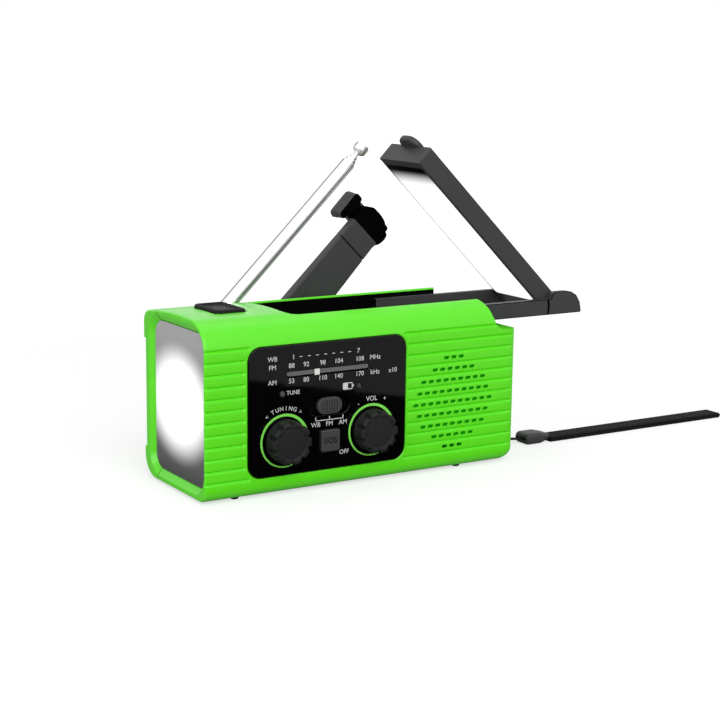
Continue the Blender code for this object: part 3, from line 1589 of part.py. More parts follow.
web_left = CLAMP_LEFT + CLAMP_LONG + GAP
boxes(
    "strap_webbing",
    [(web_left, web_left + WEB_LONG, STRAP_Y - WEB_W / 2, STRAP_Y + WEB_W / 2, 0, WEB_THICK)],
    "webbing",
)
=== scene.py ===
# %% [markdown]
# # Dressing a hand-crank emergency radio
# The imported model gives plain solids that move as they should. This lesson puts
# finer pieces and finishes on that frame, one part of the radio at a time.
# Sizes are in millimetres from the middle of the housing, as in the drawing of
# the part, and one matrix takes them to the frame's metres.

# %% Load the frame
import math

import bmesh
import bpy
from mathutils import Matrix, Vector


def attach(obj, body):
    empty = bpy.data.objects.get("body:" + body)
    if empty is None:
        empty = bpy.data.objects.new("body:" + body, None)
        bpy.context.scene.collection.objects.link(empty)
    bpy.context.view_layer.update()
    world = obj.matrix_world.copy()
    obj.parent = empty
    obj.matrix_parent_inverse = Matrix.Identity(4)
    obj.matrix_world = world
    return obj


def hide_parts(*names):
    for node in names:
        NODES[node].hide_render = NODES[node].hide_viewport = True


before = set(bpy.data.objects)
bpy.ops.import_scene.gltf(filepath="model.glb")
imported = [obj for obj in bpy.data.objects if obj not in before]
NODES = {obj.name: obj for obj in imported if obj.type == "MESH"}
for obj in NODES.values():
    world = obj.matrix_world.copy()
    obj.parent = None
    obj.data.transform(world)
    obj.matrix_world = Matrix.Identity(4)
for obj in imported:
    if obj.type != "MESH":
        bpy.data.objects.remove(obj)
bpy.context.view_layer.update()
MM = 0.001
ROW = Matrix.Translation((-0.0230, -0.0064, 0)) @ Matrix.Diagonal((MM, MM, MM, 1))

# %% [markdown]
# ## Camera
# The camera stands a little above the radio and to its left, as a product
# photograph is taken, with a long lens. The place and the focal length come from
# lining up the housing's corners, so that every later piece can be compared.

# %% Place the camera
EYE = Vector((-369.20, -616.82, 189.24))
AIM = Vector((14.047, 0, 48.838))
ROLL = math.radians(0.726)
FOCAL_PIXELS, PICTURE_PIXELS, SENSOR = 1631.344, 720, 36
look = (AIM - EYE).normalized()
level = look.cross(Vector((0, 0, 1))).normalized()
upward = level.cross(look)
side = level * math.cos(ROLL) + upward * math.sin(ROLL)
high = upward * math.cos(ROLL) - level * math.sin(ROLL)
lens = bpy.data.cameras.new("camera")
lens.sensor_width = SENSOR
lens.lens = FOCAL_PIXELS / PICTURE_PIXELS * SENSOR
lens.clip_start, lens.clip_end = 0.01, 30
camera = bpy.data.objects.new("camera", lens)
bpy.context.scene.collection.objects.link(camera)
camera.matrix_world = Matrix.Translation(ROW @ EYE) @ Matrix((side, high, -look)).transposed().to_4x4()
bpy.context.scene.camera = camera
print("camera: lens", round(lens.lens, 2), "mm")

# %% [markdown]
# ## Shape helpers
# Most pieces are one of four kinds: a flat outline given a thickness and soft
# edges, a skin through rings, a profile turned about an axis, or one shape with
# others cut out of it. Each helper returns a bmesh in millimetres.


# %% Outlines
def around(cu, cv, radius, a):
    return (cu + radius * math.cos(a), cv + radius * math.sin(a))


def arc(cu, cv, radius, start, end, steps):
    turns = [math.radians(start + (end - start) * i / steps) for i in range(steps + 1)]
    return [around(cu, cv, radius, a) for a in turns]


def disc(cu, cv, radius):
    return arc(cu, cv, radius, 0, 352, 45)


def rounded(u0, u1, v0, v1, radius, steps=8):
    return (
        arc(u1 - radius, v1 - radius, radius, 0, 90, steps)
        + arc(u0 + radius, v1 - radius, radius, 90, 180, steps)
        + arc(u0 + radius, v0 + radius, radius, 180, 270, steps)
        + arc(u1 - radius, v0 + radius, radius, 270, 360, steps)
    )


def centred(at, half_u, half_v, radius, steps):
    return rounded(at[0] - half_u, at[0] + half_u, at[1] - half_v, at[1] + half_v, radius, steps)


def growing(u0, u1, v0, v1, radius, steps):
    """A rounded outline that grows all round by an amount given later."""
    return lambda grow: rounded(u0 - grow, u1 + grow, v0 - grow, v1 + grow, radius + grow, steps)


def between(p, q, r, s, t):
    """A value from q to r, t of the way, on a Catmull-Rom curve through all four."""
    return 0.5 * (
        2 * q + (r - p) * t + (2 * p - 5 * q + 4 * r - s) * t**2 + (3 * q - p - 3 * r + s) * t**3
    )


def smooth_line(points, steps):
    """A smooth curve through points."""
    ends = [points[0], *points, points[-1]]
    line = []
    for four in zip(ends, ends[1:], ends[2:], ends[3:]):
        for i in range(steps):
            line.append(tuple(between(*values, i / steps) for values in zip(*four)))
    return line + [tuple(points[-1])]


TURN = {
    "X": Matrix(((0, 0, 1, 0), (1, 0, 0, 0), (0, 1, 0, 0), (0, 0, 0, 1))),
    "Y": Matrix(((1, 0, 0, 0), (0, 0, -1, 0), (0, 1, 0, 0), (0, 0, 0, 1))),
    "Z": Matrix.Identity(4),
}
ALONG = {"X": Vector((1, 0, 0)), "Y": Vector((0, 1, 0)), "Z": Vector((0, 0, 1))}
print("outlines along", sorted(TURN))


# %% Solids
def solid_from(data):
    """The mesh of a curve or text as a bmesh, with its doubles merged."""
    holder = bpy.data.objects.new("drawn", data)
    bpy.context.scene.collection.objects.link(holder)
    mesh = bpy.data.meshes.new_from_object(holder)
    bpy.data.objects.remove(holder)
    bpy.data.curves.remove(data)
    bm = bmesh.new()
    bm.from_mesh(mesh)
    bpy.data.meshes.remove(mesh)
    bmesh.ops.remove_doubles(bm, verts=bm.verts, dist=1e-4)
    bmesh.ops.dissolve_degenerate(bm, edges=bm.edges, dist=1e-5)
    return bm


def plate(outlines, axis, start, end, soft=0.0, steps=2):
    """Flat outlines, holes included, with a thickness and rounded edges."""
    curve = bpy.data.curves.new("outline", "CURVE")
    curve.dimensions = "2D"
    curve.fill_mode = "BOTH"
    curve.extrude = abs(end - start) / 2 - soft
    curve.bevel_depth = soft
    curve.bevel_resolution = steps
    curve.offset = -soft
    for outline in outlines:
        spline = curve.splines.new("POLY")
        spline.points.add(len(outline) - 1)
        spline.use_cyclic_u = True
        for point, (u, v) in zip(spline.points, outline):
            point.co = (u, v, 0, 1)
    bm = solid_from(curve)
    shift = Matrix.Translation(ALONG[axis] * (start + end) / 2)
    bmesh.ops.transform(bm, matrix=shift @ TURN[axis], verts=bm.verts)
    bmesh.ops.recalc_face_normals(bm, faces=bm.faces)
    return bm


def loft(rings, closed=False):
    """A skin through rings of points, capped at its ends unless it closes."""
    bm = bmesh.new()
    made = [[bm.verts.new(p) for p in ring] for ring in rings]
    pairs = list(zip(made, made[1:])) + ([(made[-1], made[0])] if closed else [])
    for one, two in pairs:
        for i in range(len(one)):
            j = (i + 1) % len(one)
            bm.faces.new((one[i], one[j], two[j], two[i]))
    if not closed:
        bm.faces.new(made[0])
        bm.faces.new(made[-1])
    bmesh.ops.recalc_face_normals(bm, faces=bm.faces)
    return bm


def mouth(outline_of, axis, stations):
    """A cutter whose outline grows by an amount at each station along an axis."""
    rings = []
    for at, grow in stations:
        rings.append([TURN[axis] @ Vector((u, v, 0)) + ALONG[axis] * at for u, v in outline_of(grow)])
    return loft(rings)


print("flat and lofted shapes ready")


# %% Turned shapes and blocks
def spin(profile, axis, u, v, steps, wave=None):
    """A profile of (radius, along) turned about an axis; wave may change the radius."""
    bm = bmesh.new()
    rings = []
    for radius, along in profile:
        if radius <= 1e-6:
            rings.append([bm.verts.new((0, 0, along))])
            continue
        ring = []
        for k in range(steps):
            a = math.tau * k / steps
            r = wave(radius, along, a) if wave else radius
            ring.append(bm.verts.new((r * math.cos(a), r * math.sin(a), along)))
        rings.append(ring)
    for one, two in zip(rings, rings[1:]):
        for k in range(steps):
            m = (k + 1) % steps
            corners = [one[k % len(one)], one[m % len(one)], two[m % len(two)], two[k % len(two)]]
            corners = list(dict.fromkeys(corners))
            if len(corners) > 2:
                bm.faces.new(corners)
    for ring in (rings[0], rings[-1]):
        if len(ring) > 2:
            bm.faces.new(ring)
    place = {
        "X": Matrix(((0, 0, 1, 0), (1, 0, 0, u), (0, 1, 0, v), (0, 0, 0, 1))),
        "Y": Matrix(((1, 0, 0, u), (0, 0, 1, 0), (0, -1, 0, v), (0, 0, 0, 1))),
        "Z": Matrix.Translation((u, v, 0)),
    }[axis]
    bmesh.ops.transform(bm, matrix=place, verts=bm.verts)
    bmesh.ops.recalc_face_normals(bm, faces=bm.faces)
    return bm


def rod(radius, start, end, axis, u, v, steps=32):
    return spin([(0, start), (radius, start), (radius, end), (0, end)], axis, u, v, steps)


def block(x0, x1, y0, y1, z0, z1, soft=0.0, steps=2):
    bm = bmesh.new()
    size = Matrix.Diagonal((x1 - x0, y1 - y0, z1 - z0, 1))
    middle = Matrix.Translation(((x0 + x1) / 2, (y0 + y1) / 2, (z0 + z1) / 2))
    bmesh.ops.create_cube(bm, size=1, matrix=middle @ size)
    if soft:
        bmesh.ops.bevel(bm, geom=bm.edges[:], offset=soft, segments=steps, profile=0.5, affect="EDGES")
    return bm


print("turned shapes ready")


# %% Join and cut
def together(*shapes):
    """Several shapes in one bmesh."""
    whole = shapes[0]
    for shape in shapes[1:]:
        mesh = bpy.data.meshes.new("part")
        shape.to_mesh(mesh)
        shape.free()
        whole.from_mesh(mesh)
        bpy.data.meshes.remove(mesh)
    return whole


def held(shape, name="held"):
    """A bmesh as a temporary object."""
    mesh = bpy.data.meshes.new(name)
    shape.to_mesh(mesh)
    shape.free()
    made = bpy.data.objects.new(name, mesh)
    bpy.context.scene.collection.objects.link(made)
    return made


def evaluated(holder, *helpers):
    """The bmesh of an object with its modifiers applied; the objects go away."""
    graph = bpy.context.evaluated_depsgraph_get()
    mesh = bpy.data.meshes.new_from_object(holder.evaluated_get(graph))
    bm = bmesh.new()
    bm.from_mesh(mesh)
    bpy.data.meshes.remove(mesh)
    for old in (holder, *helpers):
        bpy.data.objects.remove(old)
    return bm


def carve(shape, *cutters, operation="DIFFERENCE"):
    """The shape with cutters taken out of it, or joined to it."""
    target = held(shape)
    tools = [held(cutter) for cutter in cutters]
    for tool in tools:
        modifier = target.modifiers.new("carve", "BOOLEAN")
        modifier.operation = operation
        modifier.solver = "EXACT"
        modifier.object = tool
    return evaluated(target, *tools)


print("joining and cutting ready")


# %% Finish a piece
def painted(shape, rule):
    """A shape whose faces take the finish that a rule of their middle and normal gives by number."""
    shape.normal_update()
    for face in shape.faces:
        face.material_index = int(rule(face.calc_center_median(), face.normal))
    return shape


def piece(name, shape, finish, body, stands_for=(), place=Matrix.Identity(4), sharp=32):
    """A finished piece: in the frame's metres, shaded, painted and riding on its body."""
    bmesh.ops.transform(shape, matrix=ROW @ place, verts=shape.verts)
    made = held(shape, name)
    made.data.shade_smooth()
    made.data.set_sharp_from_angle(angle=math.radians(sharp))
    for one in finish if isinstance(finish, (list, tuple)) else [finish]:
        made.data.materials.append(one)
    even = made.modifiers.new("even", "WEIGHTED_NORMAL")
    even.keep_sharp = True
    graph = bpy.context.evaluated_depsgraph_get()
    source = made.evaluated_get(graph)
    flat = bpy.data.meshes.new_from_object(source, preserve_all_data_layers=True, depsgraph=graph)
    made.modifiers.clear()
    made.data = flat
    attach(made, body)
    if stands_for:
        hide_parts(*stands_for)
    return made


print("pieces ready")

# %% [markdown]
# ## A row of things
# Speaker slots, switch ridges, lamp diodes and cell wires are all one small shape
# repeated at an even step. One Geometry Nodes tree makes any such row: a line of
# points, the shape on each of them, and Realize Instances, since an export keeps
# real faces and drops instances. Its second half will serve again for the screws.


# %% Build the row tree
def linked(tree, *pairs):
    for a, b in pairs:
        tree.links.new(a, b)


def repeat_tree(name, inputs):
    """A tree that puts a shape on points, makes it real and paints it, with its points still to link."""
    tree = bpy.data.node_groups.new(name, "GeometryNodeTree")
    tree.interface.new_socket("Geometry", in_out="OUTPUT", socket_type="NodeSocketGeometry")
    for label, kind in (*inputs, ("Shape", "Object"), ("Finish", "Material")):
        tree.interface.new_socket(label, in_out="INPUT", socket_type="NodeSocket" + kind)
    start, end = tree.nodes.new("NodeGroupInput"), tree.nodes.new("NodeGroupOutput")
    kinds = ("ObjectInfo", "InstanceOnPoints", "RealizeInstances", "SetMaterial")
    shape, put, real, paint = [tree.nodes.new("GeometryNode" + kind) for kind in kinds]
    linked(
        tree,
        (start.outputs["Shape"], shape.inputs["Object"]),
        (shape.outputs["Geometry"], put.inputs["Instance"]),
        (put.outputs["Instances"], real.inputs["Geometry"]),
        (real.outputs["Geometry"], paint.inputs["Geometry"]),
        (start.outputs["Finish"], paint.inputs["Material"]),
        (paint.outputs["Geometry"], end.inputs["Geometry"]),
    )
    return tree, start.outputs, put.inputs["Points"]


def row_tree():
    tree, given, points = repeat_tree("row_of", (("Count", "Int"), ("First", "Vector"), ("Step", "Vector")))
    line = tree.nodes.new("GeometryNodeMeshLine")
    line.mode = "OFFSET"
    linked(
        tree,
        (given["Count"], line.inputs["Count"]),
        (given["First"], line.inputs["Start Location"]),
        (given["Step"], line.inputs["Offset"]),
        (line.outputs["Mesh"], points),
    )
    return tree


def repeated(tree, points, shape, **values):
    """The plain mesh of a shape repeated by a tree."""
    sample, holder = held(shape, "sample"), held(points, "repeated")
    modifier = holder.modifiers.new("repeat", "NODES")
    modifier.node_group = tree
    inputs = {s.name: s.identifier for s in tree.interface.items_tree if s.in_out == "INPUT"}
    for label, value in {"Shape": sample, **values}.items():
        modifier[inputs[label]] = value
    return evaluated(holder, sample)


ROW_TREE = row_tree()


def row_of(shape, count, first, step, finish=None):
    """A shape repeated count times from a first place, a step apart."""
    return repeated(ROW_TREE, bmesh.new(), shape, Count=count, First=first, Step=step, Finish=finish)


print("row tree:", len(ROW_TREE.nodes), "nodes")

# %% [markdown]
# ## Finishes
# Moulded plastic is never one flat colour: a fine spark-eroded grain breaks up
# the gloss, and the tone drifts a little over the part. One shader group gives
# both, and each finish takes it with its own scale. Wire, board, webbing and the
# solar cells have patterns of their own.


# %% Shared shader groups
def node(tree, kind, **values):
    made = tree.nodes.new("ShaderNode" + kind)
    for key, value in values.items():
        setattr(made, key, value)
    return made


def preset(made, **values):
    """A node with its inputs set by name, an underscore standing for a space."""
    for label, value in values.items():
        made.inputs[label.replace("_", " ")].default_value = value
    return made


def math_node(tree, operation, a, b):
    made = node(tree, "Math", operation=operation)
    for socket, value in zip(made.inputs, (a, b)):
        if isinstance(value, (int, float)):
            socket.default_value = value
        else:
            tree.links.new(value, socket)
    return made.outputs[0]


def blended(tree, a, share_a, b, share_b):
    """A weighted sum of two values."""
    first = math_node(tree, "MULTIPLY", a, share_a)
    return math_node(tree, "ADD", first, math_node(tree, "MULTIPLY", b, share_b))


def grain_group():
    """Fine moulded grain, a slow drift of tone, and a roughness that follows both."""
    tree = bpy.data.node_groups.new("moulded_grain", "ShaderNodeTree")
    tree.interface.new_socket("Vector", in_out="INPUT", socket_type="NodeSocketVector")
    sides = {"INPUT": ("Grain", "Drift", "Roughness", "Spread"), "OUTPUT": ("Height", "Tone", "Roughness")}
    for way, labels in sides.items():
        for label in labels:
            tree.interface.new_socket(label, in_out=way, socket_type="NodeSocketFloat")
    given, end = tree.nodes.new("NodeGroupInput").outputs, tree.nodes.new("NodeGroupOutput")
    fine, slow = preset(node(tree, "TexNoise"), Detail=2.0), preset(node(tree, "TexNoise"), Detail=3.0)
    mixed = blended(tree, fine.outputs["Fac"], 0.4, slow.outputs["Fac"], 0.6)
    swing = math_node(tree, "MULTIPLY", math_node(tree, "SUBTRACT", mixed, 0.5), given["Spread"])
    linked(
        tree,
        (given["Vector"], fine.inputs["Vector"]),
        (given["Vector"], slow.inputs["Vector"]),
        (given["Grain"], fine.inputs["Scale"]),
        (given["Drift"], slow.inputs["Scale"]),
        (fine.outputs["Fac"], end.inputs["Height"]),
        (slow.outputs["Fac"], end.inputs["Tone"]),
        (math_node(tree, "ADD", given["Roughness"], swing), end.inputs["Roughness"]),
    )
    return tree


GRAIN = grain_group()
print("moulded grain:", len(GRAIN.nodes), "nodes")


# %% Parts of a material
def blank(name):
    made = bpy.data.materials.new(name)
    made.use_nodes = True
    tree = made.node_tree
    return made, tree, tree.nodes["Principled BSDF"], node(tree, "TexCoord").outputs["Object"]


def tone_mix(tree, share, dark, light):
    mix = node(tree, "Mix", data_type="RGBA")
    tree.links.new(share, mix.inputs[0])
    mix.inputs[6].default_value = (*dark, 1)
    mix.inputs[7].default_value = (*light, 1)
    return mix.outputs[2]


def bumped(tree, shader, height, strength, distance):
    bump = preset(node(tree, "Bump"), Strength=strength, Distance=distance)
    linked(tree, (height, bump.inputs["Height"]), (bump.outputs["Normal"], shader.inputs["Normal"]))


def moulded(
    name, colour, rough, metal=0.0, grain=2500.0, bump=0.15, tone=0.08, spread=0.15, drift=40.0, **sockets
):
    """A moulded, cast or drawn finish with grain, drift of tone and varied gloss."""
    made, tree, shader, place = blank(name)
    preset(shader, Metallic=metal, **sockets)
    skin = node(tree, "Group", node_tree=GRAIN)
    preset(skin, Grain=grain, Drift=drift, Roughness=rough, Spread=spread)
    dark, light = [c * (1 - tone) for c in colour], [min(c * (1 + tone), 1) for c in colour]
    linked(
        tree,
        (place, skin.inputs["Vector"]),
        (tone_mix(tree, skin.outputs["Tone"], dark, light), shader.inputs["Base Color"]),
        (skin.outputs["Roughness"], shader.inputs["Roughness"]),
    )
    bumped(tree, shader, skin.outputs["Height"], bump, 0.0001)
    return made


print("material parts ready")

# %% Plain finishes
GREEN = moulded("green_plastic", (0.118, 0.80, 0.010), 0.28, bump=0.10, tone=0.03, spread=0.10)
# Painted shade: a darker green for the walls of the speaker's slots and the cloth behind them, standing in
# for the shade in the slots.
SLOT_SHADE_GREEN = moulded("slot_painted_shade", (0.006, 0.40, 0.002), 0.6, bump=0.1, tone=0.1, Specular_IOR_Level=0.05)
BLACK = moulded("black_plastic", (0.041, 0.041, 0.042), 0.48, bump=0.22, tone=0.12, Specular_IOR_Level=0.3)
# Painted shade: near black for the inside of the case and the bay, the tray's trough, the crank's knuckle,
# half the grip and the dark backings of the switch, where shade falls.
SHADE_BLACK = moulded("painted_shade_black", (0.0025, 0.0025, 0.0025), 0.7, bump=0.2, tone=0.1, Specular_IOR_Level=0.0)
GLOSS_LOOK = {"bump": 0.004, "tone": 0.2, "spread": 0.03, "Specular_IOR_Level": 0.40}
GLOSS = moulded("gloss_black", (0.0015, 0.0015, 0.0016), 0.05, **GLOSS_LOOK)
GREY = moulded("grey_plastic", (0.017, 0.017, 0.0175), 0.5, bump=0.18, tone=0.12, Specular_IOR_Level=0.15)
BUTTON = moulded("button_grey", (0.042, 0.042, 0.043), 0.5, bump=0.2, tone=0.1)
PRESS_LOOK = {"bump": 0.03, "tone": 0.15, "spread": 0.08, "Specular_IOR_Level": 0.05}
PRESS_BLACK = moulded("press_black", (0.013, 0.013, 0.013), 0.5, **PRESS_LOOK)
DIAL_GREY = moulded("dial_grey", (0.125, 0.125, 0.128), 0.42, bump=0.1, tone=0.06)
DIM_LENS = moulded("dim_lens", (0.085, 0.085, 0.085), 0.25, bump=0.03, tone=0.1)
WHITE = moulded("white_plastic", (0.78, 0.78, 0.76), 0.42, tone=0.04)
INK = moulded("white_ink", (0.62, 0.62, 0.62), 0.55, bump=0.05, tone=0.05, grain=4000)
GREEN_INK = moulded("green_ink", (0.22, 0.80, 0.09), 0.45, bump=0.05, tone=0.05, grain=4000)
RUBBER = moulded("rubber", (0.018, 0.018, 0.019), 0.78, bump=0.3, tone=0.15, grain=1800)
STEEL = moulded("steel", (0.60, 0.60, 0.62), 0.28, 1.0, bump=0.08, tone=0.06, drift=120)
BRASS = moulded("brass", (0.75, 0.53, 0.20), 0.3, 1.0, tone=0.08)
FERRITE = moulded("ferrite", (0.045, 0.043, 0.042), 0.7, bump=0.4, tone=0.2, grain=1200)
CELL_WRAP = moulded("battery_wrap", (0.03, 0.16, 0.42), 0.35, tone=0.06, grain=900)
CONE = moulded("paper_cone", (0.012, 0.012, 0.013), 0.85, bump=0.5, tone=0.25, grain=700)
print("plain finishes:", len(bpy.data.materials))


# %% Patterned finishes
def waved(tree, place, axis, scale, distortion):
    """Fine parallel bands across an axis."""
    wave = node(tree, "TexWave", wave_type="BANDS", bands_direction=axis)
    preset(wave, Scale=scale, Distortion=distortion, Detail=1.0)
    tree.links.new(place, wave.inputs["Vector"])
    return wave.outputs["Fac"]


def wound_wire():
    """Enamelled wire, its turns side by side along the coil."""
    made, tree, shader, place = blank("enamelled_wire")
    preset(shader, Roughness=0.32, Metallic=1.0)
    turns = waved(tree, place, "X", 700.0, 0.4)
    tone = tone_mix(tree, turns, (0.40, 0.14, 0.05), (0.78, 0.36, 0.16))
    tree.links.new(tone, shader.inputs["Base Color"])
    bumped(tree, shader, turns, 0.6, 0.0002)
    return made


def masked_board():
    """Green solder mask with copper tracks showing through it."""
    made, tree, shader, place = blank("circuit_board")
    preset(shader, Roughness=0.4)
    tracks = preset(node(tree, "TexBrick"), Scale=260.0, Mortar_Size=0.06, Mortar=(0.015, 0.075, 0.026, 1))
    preset(tracks, Color1=(0.004, 0.030, 0.012, 1), Color2=(0.005, 0.038, 0.015, 1))
    turn = preset(node(tree, "Mapping"), Rotation=(math.radians(90), 0, 0))
    linked(
        tree,
        (place, turn.inputs["Vector"]),
        (turn.outputs["Vector"], tracks.inputs["Vector"]),
        (tracks.outputs["Color"], shader.inputs["Base Color"]),
    )
    bumped(tree, shader, tracks.outputs["Fac"], 0.3, 0.0002)
    return made


def woven(colour):
    """Ribbed nylon webbing: ribs along the strap crossed by fine picks, on its UV map."""
    made, tree, shader, _ = blank("webbing")
    preset(shader, Roughness=0.85, Specular_IOR_Level=0.1)
    place = node(tree, "UVMap", uv_map="strap").outputs["UV"]
    ribs = waved(tree, place, "X", 1300.0 / math.tau, 0.6)
    picks = waved(tree, place, "Y", 2600.0 / math.tau, 0.6)
    weave = blended(tree, ribs, 0.6, picks, 0.4)
    tone = tone_mix(tree, weave, [c * 0.45 for c in colour], [c * 1.5 for c in colour])
    tree.links.new(tone, shader.inputs["Base Color"])
    bumped(tree, shader, weave, 0.7, 0.0003)
    return made


WIRE = wound_wire()
BOARD = masked_board()
WEBBING = woven((0.011, 0.011, 0.012))
print("patterned finishes ready")


# %% Lit lenses
def glowing(name, strength, centre, reach, edge, turn=0.0, box=False):
    """A lit lens: smooth plastic whose glow fades from its middle to its rim, round or boxy."""
    made, tree, shader, place = blank(name)
    preset(shader, Roughness=0.12, IOR=1.49, Emission_Strength=strength)
    shift = node(tree, "Mapping", vector_type="TEXTURE")
    preset(shift, Location=ROW @ Vector(centre), Rotation=(0, math.radians(turn), 0))
    preset(shift, Scale=[r * MM for r in reach])
    tree.links.new(place, shift.inputs["Vector"])
    reached = shift.outputs["Vector"]
    for _ in range(2 if box else 0):
        squared = node(tree, "VectorMath", operation="MULTIPLY")
        linked(tree, (reached, squared.inputs[0]), (reached, squared.inputs[1]))
        reached = squared.outputs["Vector"]
    far = node(tree, "VectorMath", operation="LENGTH")
    fade = node(tree, "ValToRGB")
    lit_stop, dark_stop = fade.color_ramp.elements
    fade.color_ramp.interpolation = "EASE"
    lit_stop.position = edge
    lit_stop.color, dark_stop.color = (1, 1, 1, 1), (0, 0, 0, 1)
    linked(
        tree,
        (reached, far.inputs[0]),
        (far.outputs["Value"], fade.inputs["Fac"]),
        (fade.outputs["Color"], shader.inputs["Emission Color"]),
    )
    return made, tree, shader, place


print("lit lenses ready")

# %% [markdown]
# ## Wrist strap
# A thin cord leaves the right end near the table and runs into a moulded clamp, and
# a ribbed webbing loop lies flat beyond it. A curve with a round bevel would give a
# smooth cord, but the cord's twist and the creased edges of the doubled webbing show
# close by, so both are skins through rings, mapped along their length.


# %% Make the cord and its clamp
def tube(path, radius, strands=3, pitch=4.0, steps=24):
    """A twisted cord: a tube whose section turns as it goes along the path."""
    rings, gone = [], 0.0
    for i, point in enumerate(path):
        before, after = Vector(path[max(i - 1, 0)]), Vector(path[min(i + 1, len(path) - 1)])
        ahead = (after - before).normalized()
        across = Vector((0, 1, 0))
        over = ahead.cross(across).normalized()
        gone += (Vector(point) - before).length
        ring = []
        for k in range(steps):
            a = math.tau * k / steps
            r = radius * (0.84 + 0.16 * abs(math.cos(strands / 2 * (a - math.tau * gone / pitch))))
            ring.append(Vector(point) + across * r * math.cos(a) + over * r * math.sin(a))
        rings.append(ring)
    return loft(rings)


STRAP_Y, STRAP_Z = -4.0, 7.0
CORD_BENDS = ((71, STRAP_Z), (81, STRAP_Z), (87, 5.8), (96, 3.4), (102, 2.7), (103.7, 2.7))
cord_route = [(x, STRAP_Y, z) for x, z in CORD_BENDS]
cord_shape = tube(smooth_line(cord_route, 20), 0.65)
cord = piece("wrist_cord", cord_shape, WEBBING, "housing", ["strap_cord"])
CLAMP_HALF, CLAMP_HIGH = 5.25, 5.4


def clamp_ring(x, grow):
    half = CLAMP_HALF + grow
    outline = rounded(STRAP_Y - half, STRAP_Y + half, -min(grow, 0), CLAMP_HIGH + grow, 1.9, 6)
    return [(x, y, z) for y, z in outline]


nose = [(104.0, -1.2), (104.2, -0.7), (104.7, -0.3), (105.6, 0.0)]
tail = [(112.6, 0.0), (113.4, -0.1), (117.6, -1.0), (118.2, -1.2), (118.5, -1.5)]
clamp_shape = loft([clamp_ring(x, grow) for x, grow in nose + tail])
clamp = piece("strap_slider", clamp_shape, BLACK, "housing", ["strap_clamp"])

# %% Make the webbing
WEB_START, WEB_END, WEB_HALF, WEB_RISE = 118.8, 230.8, 4.8, 1.3
FOLD_STEPS, CREASE, CREASE_SHARE = (1.2, 0.8, 0.4, 0.15, 0.02), 0.45, 0.12


def ribbon():
    """A doubled strap: a crease along each edge parts its layers, and the far end is the fold."""
    rings = []
    for x in [WEB_START + 2 * i for i in range(56)] + [WEB_END - left for left in FOLD_STEPS]:
        short = max(WEB_RISE - (WEB_END - x), 0)
        half = math.sqrt(WEB_RISE**2 - short**2)
        crease = 0.0 if short else CREASE
        low, high = STRAP_Y - WEB_HALF, STRAP_Y + WEB_HALF
        ring = rounded(low, high, WEB_RISE - half, WEB_RISE + half, 0.38 * half, 3)
        lip = CREASE_SHARE * half
        lips = [(0.0, WEB_RISE - lip), (crease, WEB_RISE), (0.0, WEB_RISE + lip)]
        near = [(low + deep, z) for deep, z in reversed(lips)]
        far = [(high - deep, z) for deep, z in lips]
        rings.append([(x, y, z) for y, z in ring[:8] + near + ring[8:] + far])
    return loft(rings)


def strap_map(made):
    """A UV map in metres: across the strap, and along it."""
    layer = made.data.uv_layers.new(name="strap")
    for loop in made.data.loops:
        place = made.data.vertices[loop.vertex_index].co
        layer.data[loop.index].uv = (place.y + place.z, place.x)


web = piece("wrist_webbing", ribbon(), WEBBING, "housing", ["strap_webbing"], sharp=50)
strap_map(web)
strap_map(cord)
print("webbing:", len(web.data.polygons), "faces")

# %% Say how the strap hangs
print("strap: from", cord_route[0][0], "to", WEB_END, "mm along the radio")

# %% [markdown]
# ## Housing
# The two green shells are one moulded section drawn along the radio, with the
# twelve shallow grooves that wrap round the front. Pressing the grooves into the
# rings keeps them soft, where a Boolean would leave hard edges. Openings are cut
# afterwards with cutters whose mouths flare, so that every edge is rounded.

# %% Section and grooves
GROOVES, LOWEST, HIGHEST = 12, 9.3, 65.2
PITCH = (HIGHEST - LOWEST) / (GROOVES - 1)
LEVELS = [LOWEST + PITCH * k for k in range(GROOVES)]
GROOVE_HALF, GROOVE_DEEP = 0.9, 0.8
FRONT, BACK, UNDERSIDE = -30.0, 30.0, 1.0
FRONT_FOOT, BACK_FOOT, BACK_TOP = 6, 10, 5.5
BROW, BROW_Y, BROW_Z = 13.5, -16.5, 63.7
LEFT_END, LEFT_ROUND = -78.1, 0.9
RIGHT_END, RIGHT_ROUND = 74, 5
FACE_EASE, WALL = 0.7, 2.2


def section():
    """Points (y, z, share, level) round the housing, share being the groove's part there."""
    back_y, back_z = BACK - BACK_TOP, 75.3
    crown = [(back_y, back_z), (14, 76.6), (4, 77.3), (-6, 77.5), (BROW_Y, BROW_Z + BROW)]
    plain = arc(FRONT + FRONT_FOOT, UNDERSIDE + FRONT_FOOT, FRONT_FOOT, 180, 270, 8)
    plain += [(y, UNDERSIDE) for y in (-13, -2, 9)]
    plain += arc(BACK - BACK_FOOT, UNDERSIDE + BACK_FOOT, BACK_FOOT, 270, 360, 12)
    plain += [(BACK, z) for z in (20, 30, 40, 50, 60)]
    plain += arc(back_y, back_z - BACK_TOP, BACK_TOP, 0, 90, 8) + smooth_line(crown, 5)[1:-1]
    ring = [(y, z, 0.0, 0) for y, z in plain]
    ring += [(y, z, 0.0, GROOVES - 1) for y, z in arc(BROW_Y, BROW_Z, BROW, 90, 167, 14)]
    for level in reversed(range(GROOVES)):
        for step in range(4, -5, -1):
            z = LEVELS[level] + GROOVE_HALF * step / 4
            share = math.cos(math.pi / 8 * step) ** 2
            back = BROW - math.sqrt(BROW**2 - max(z - BROW_Z, 0) ** 2)
            ring.append((FRONT + back, z, share, level))
        if level:
            ring.append((FRONT, LEVELS[level] - PITCH / 2, 0.0, level))
    return ring


SECTION = section()
NORMALS = []
for i in range(len(SECTION)):
    (y0, z0, *_), (y1, z1, *_) = SECTION[i - 1], SECTION[(i + 1) % len(SECTION)]
    size = math.hypot(y1 - y0, z1 - z0)
    NORMALS.append(((z1 - z0) / size, -(y1 - y0) / size))


print("section:", len(SECTION), "points,", GROOVES, "grooves")

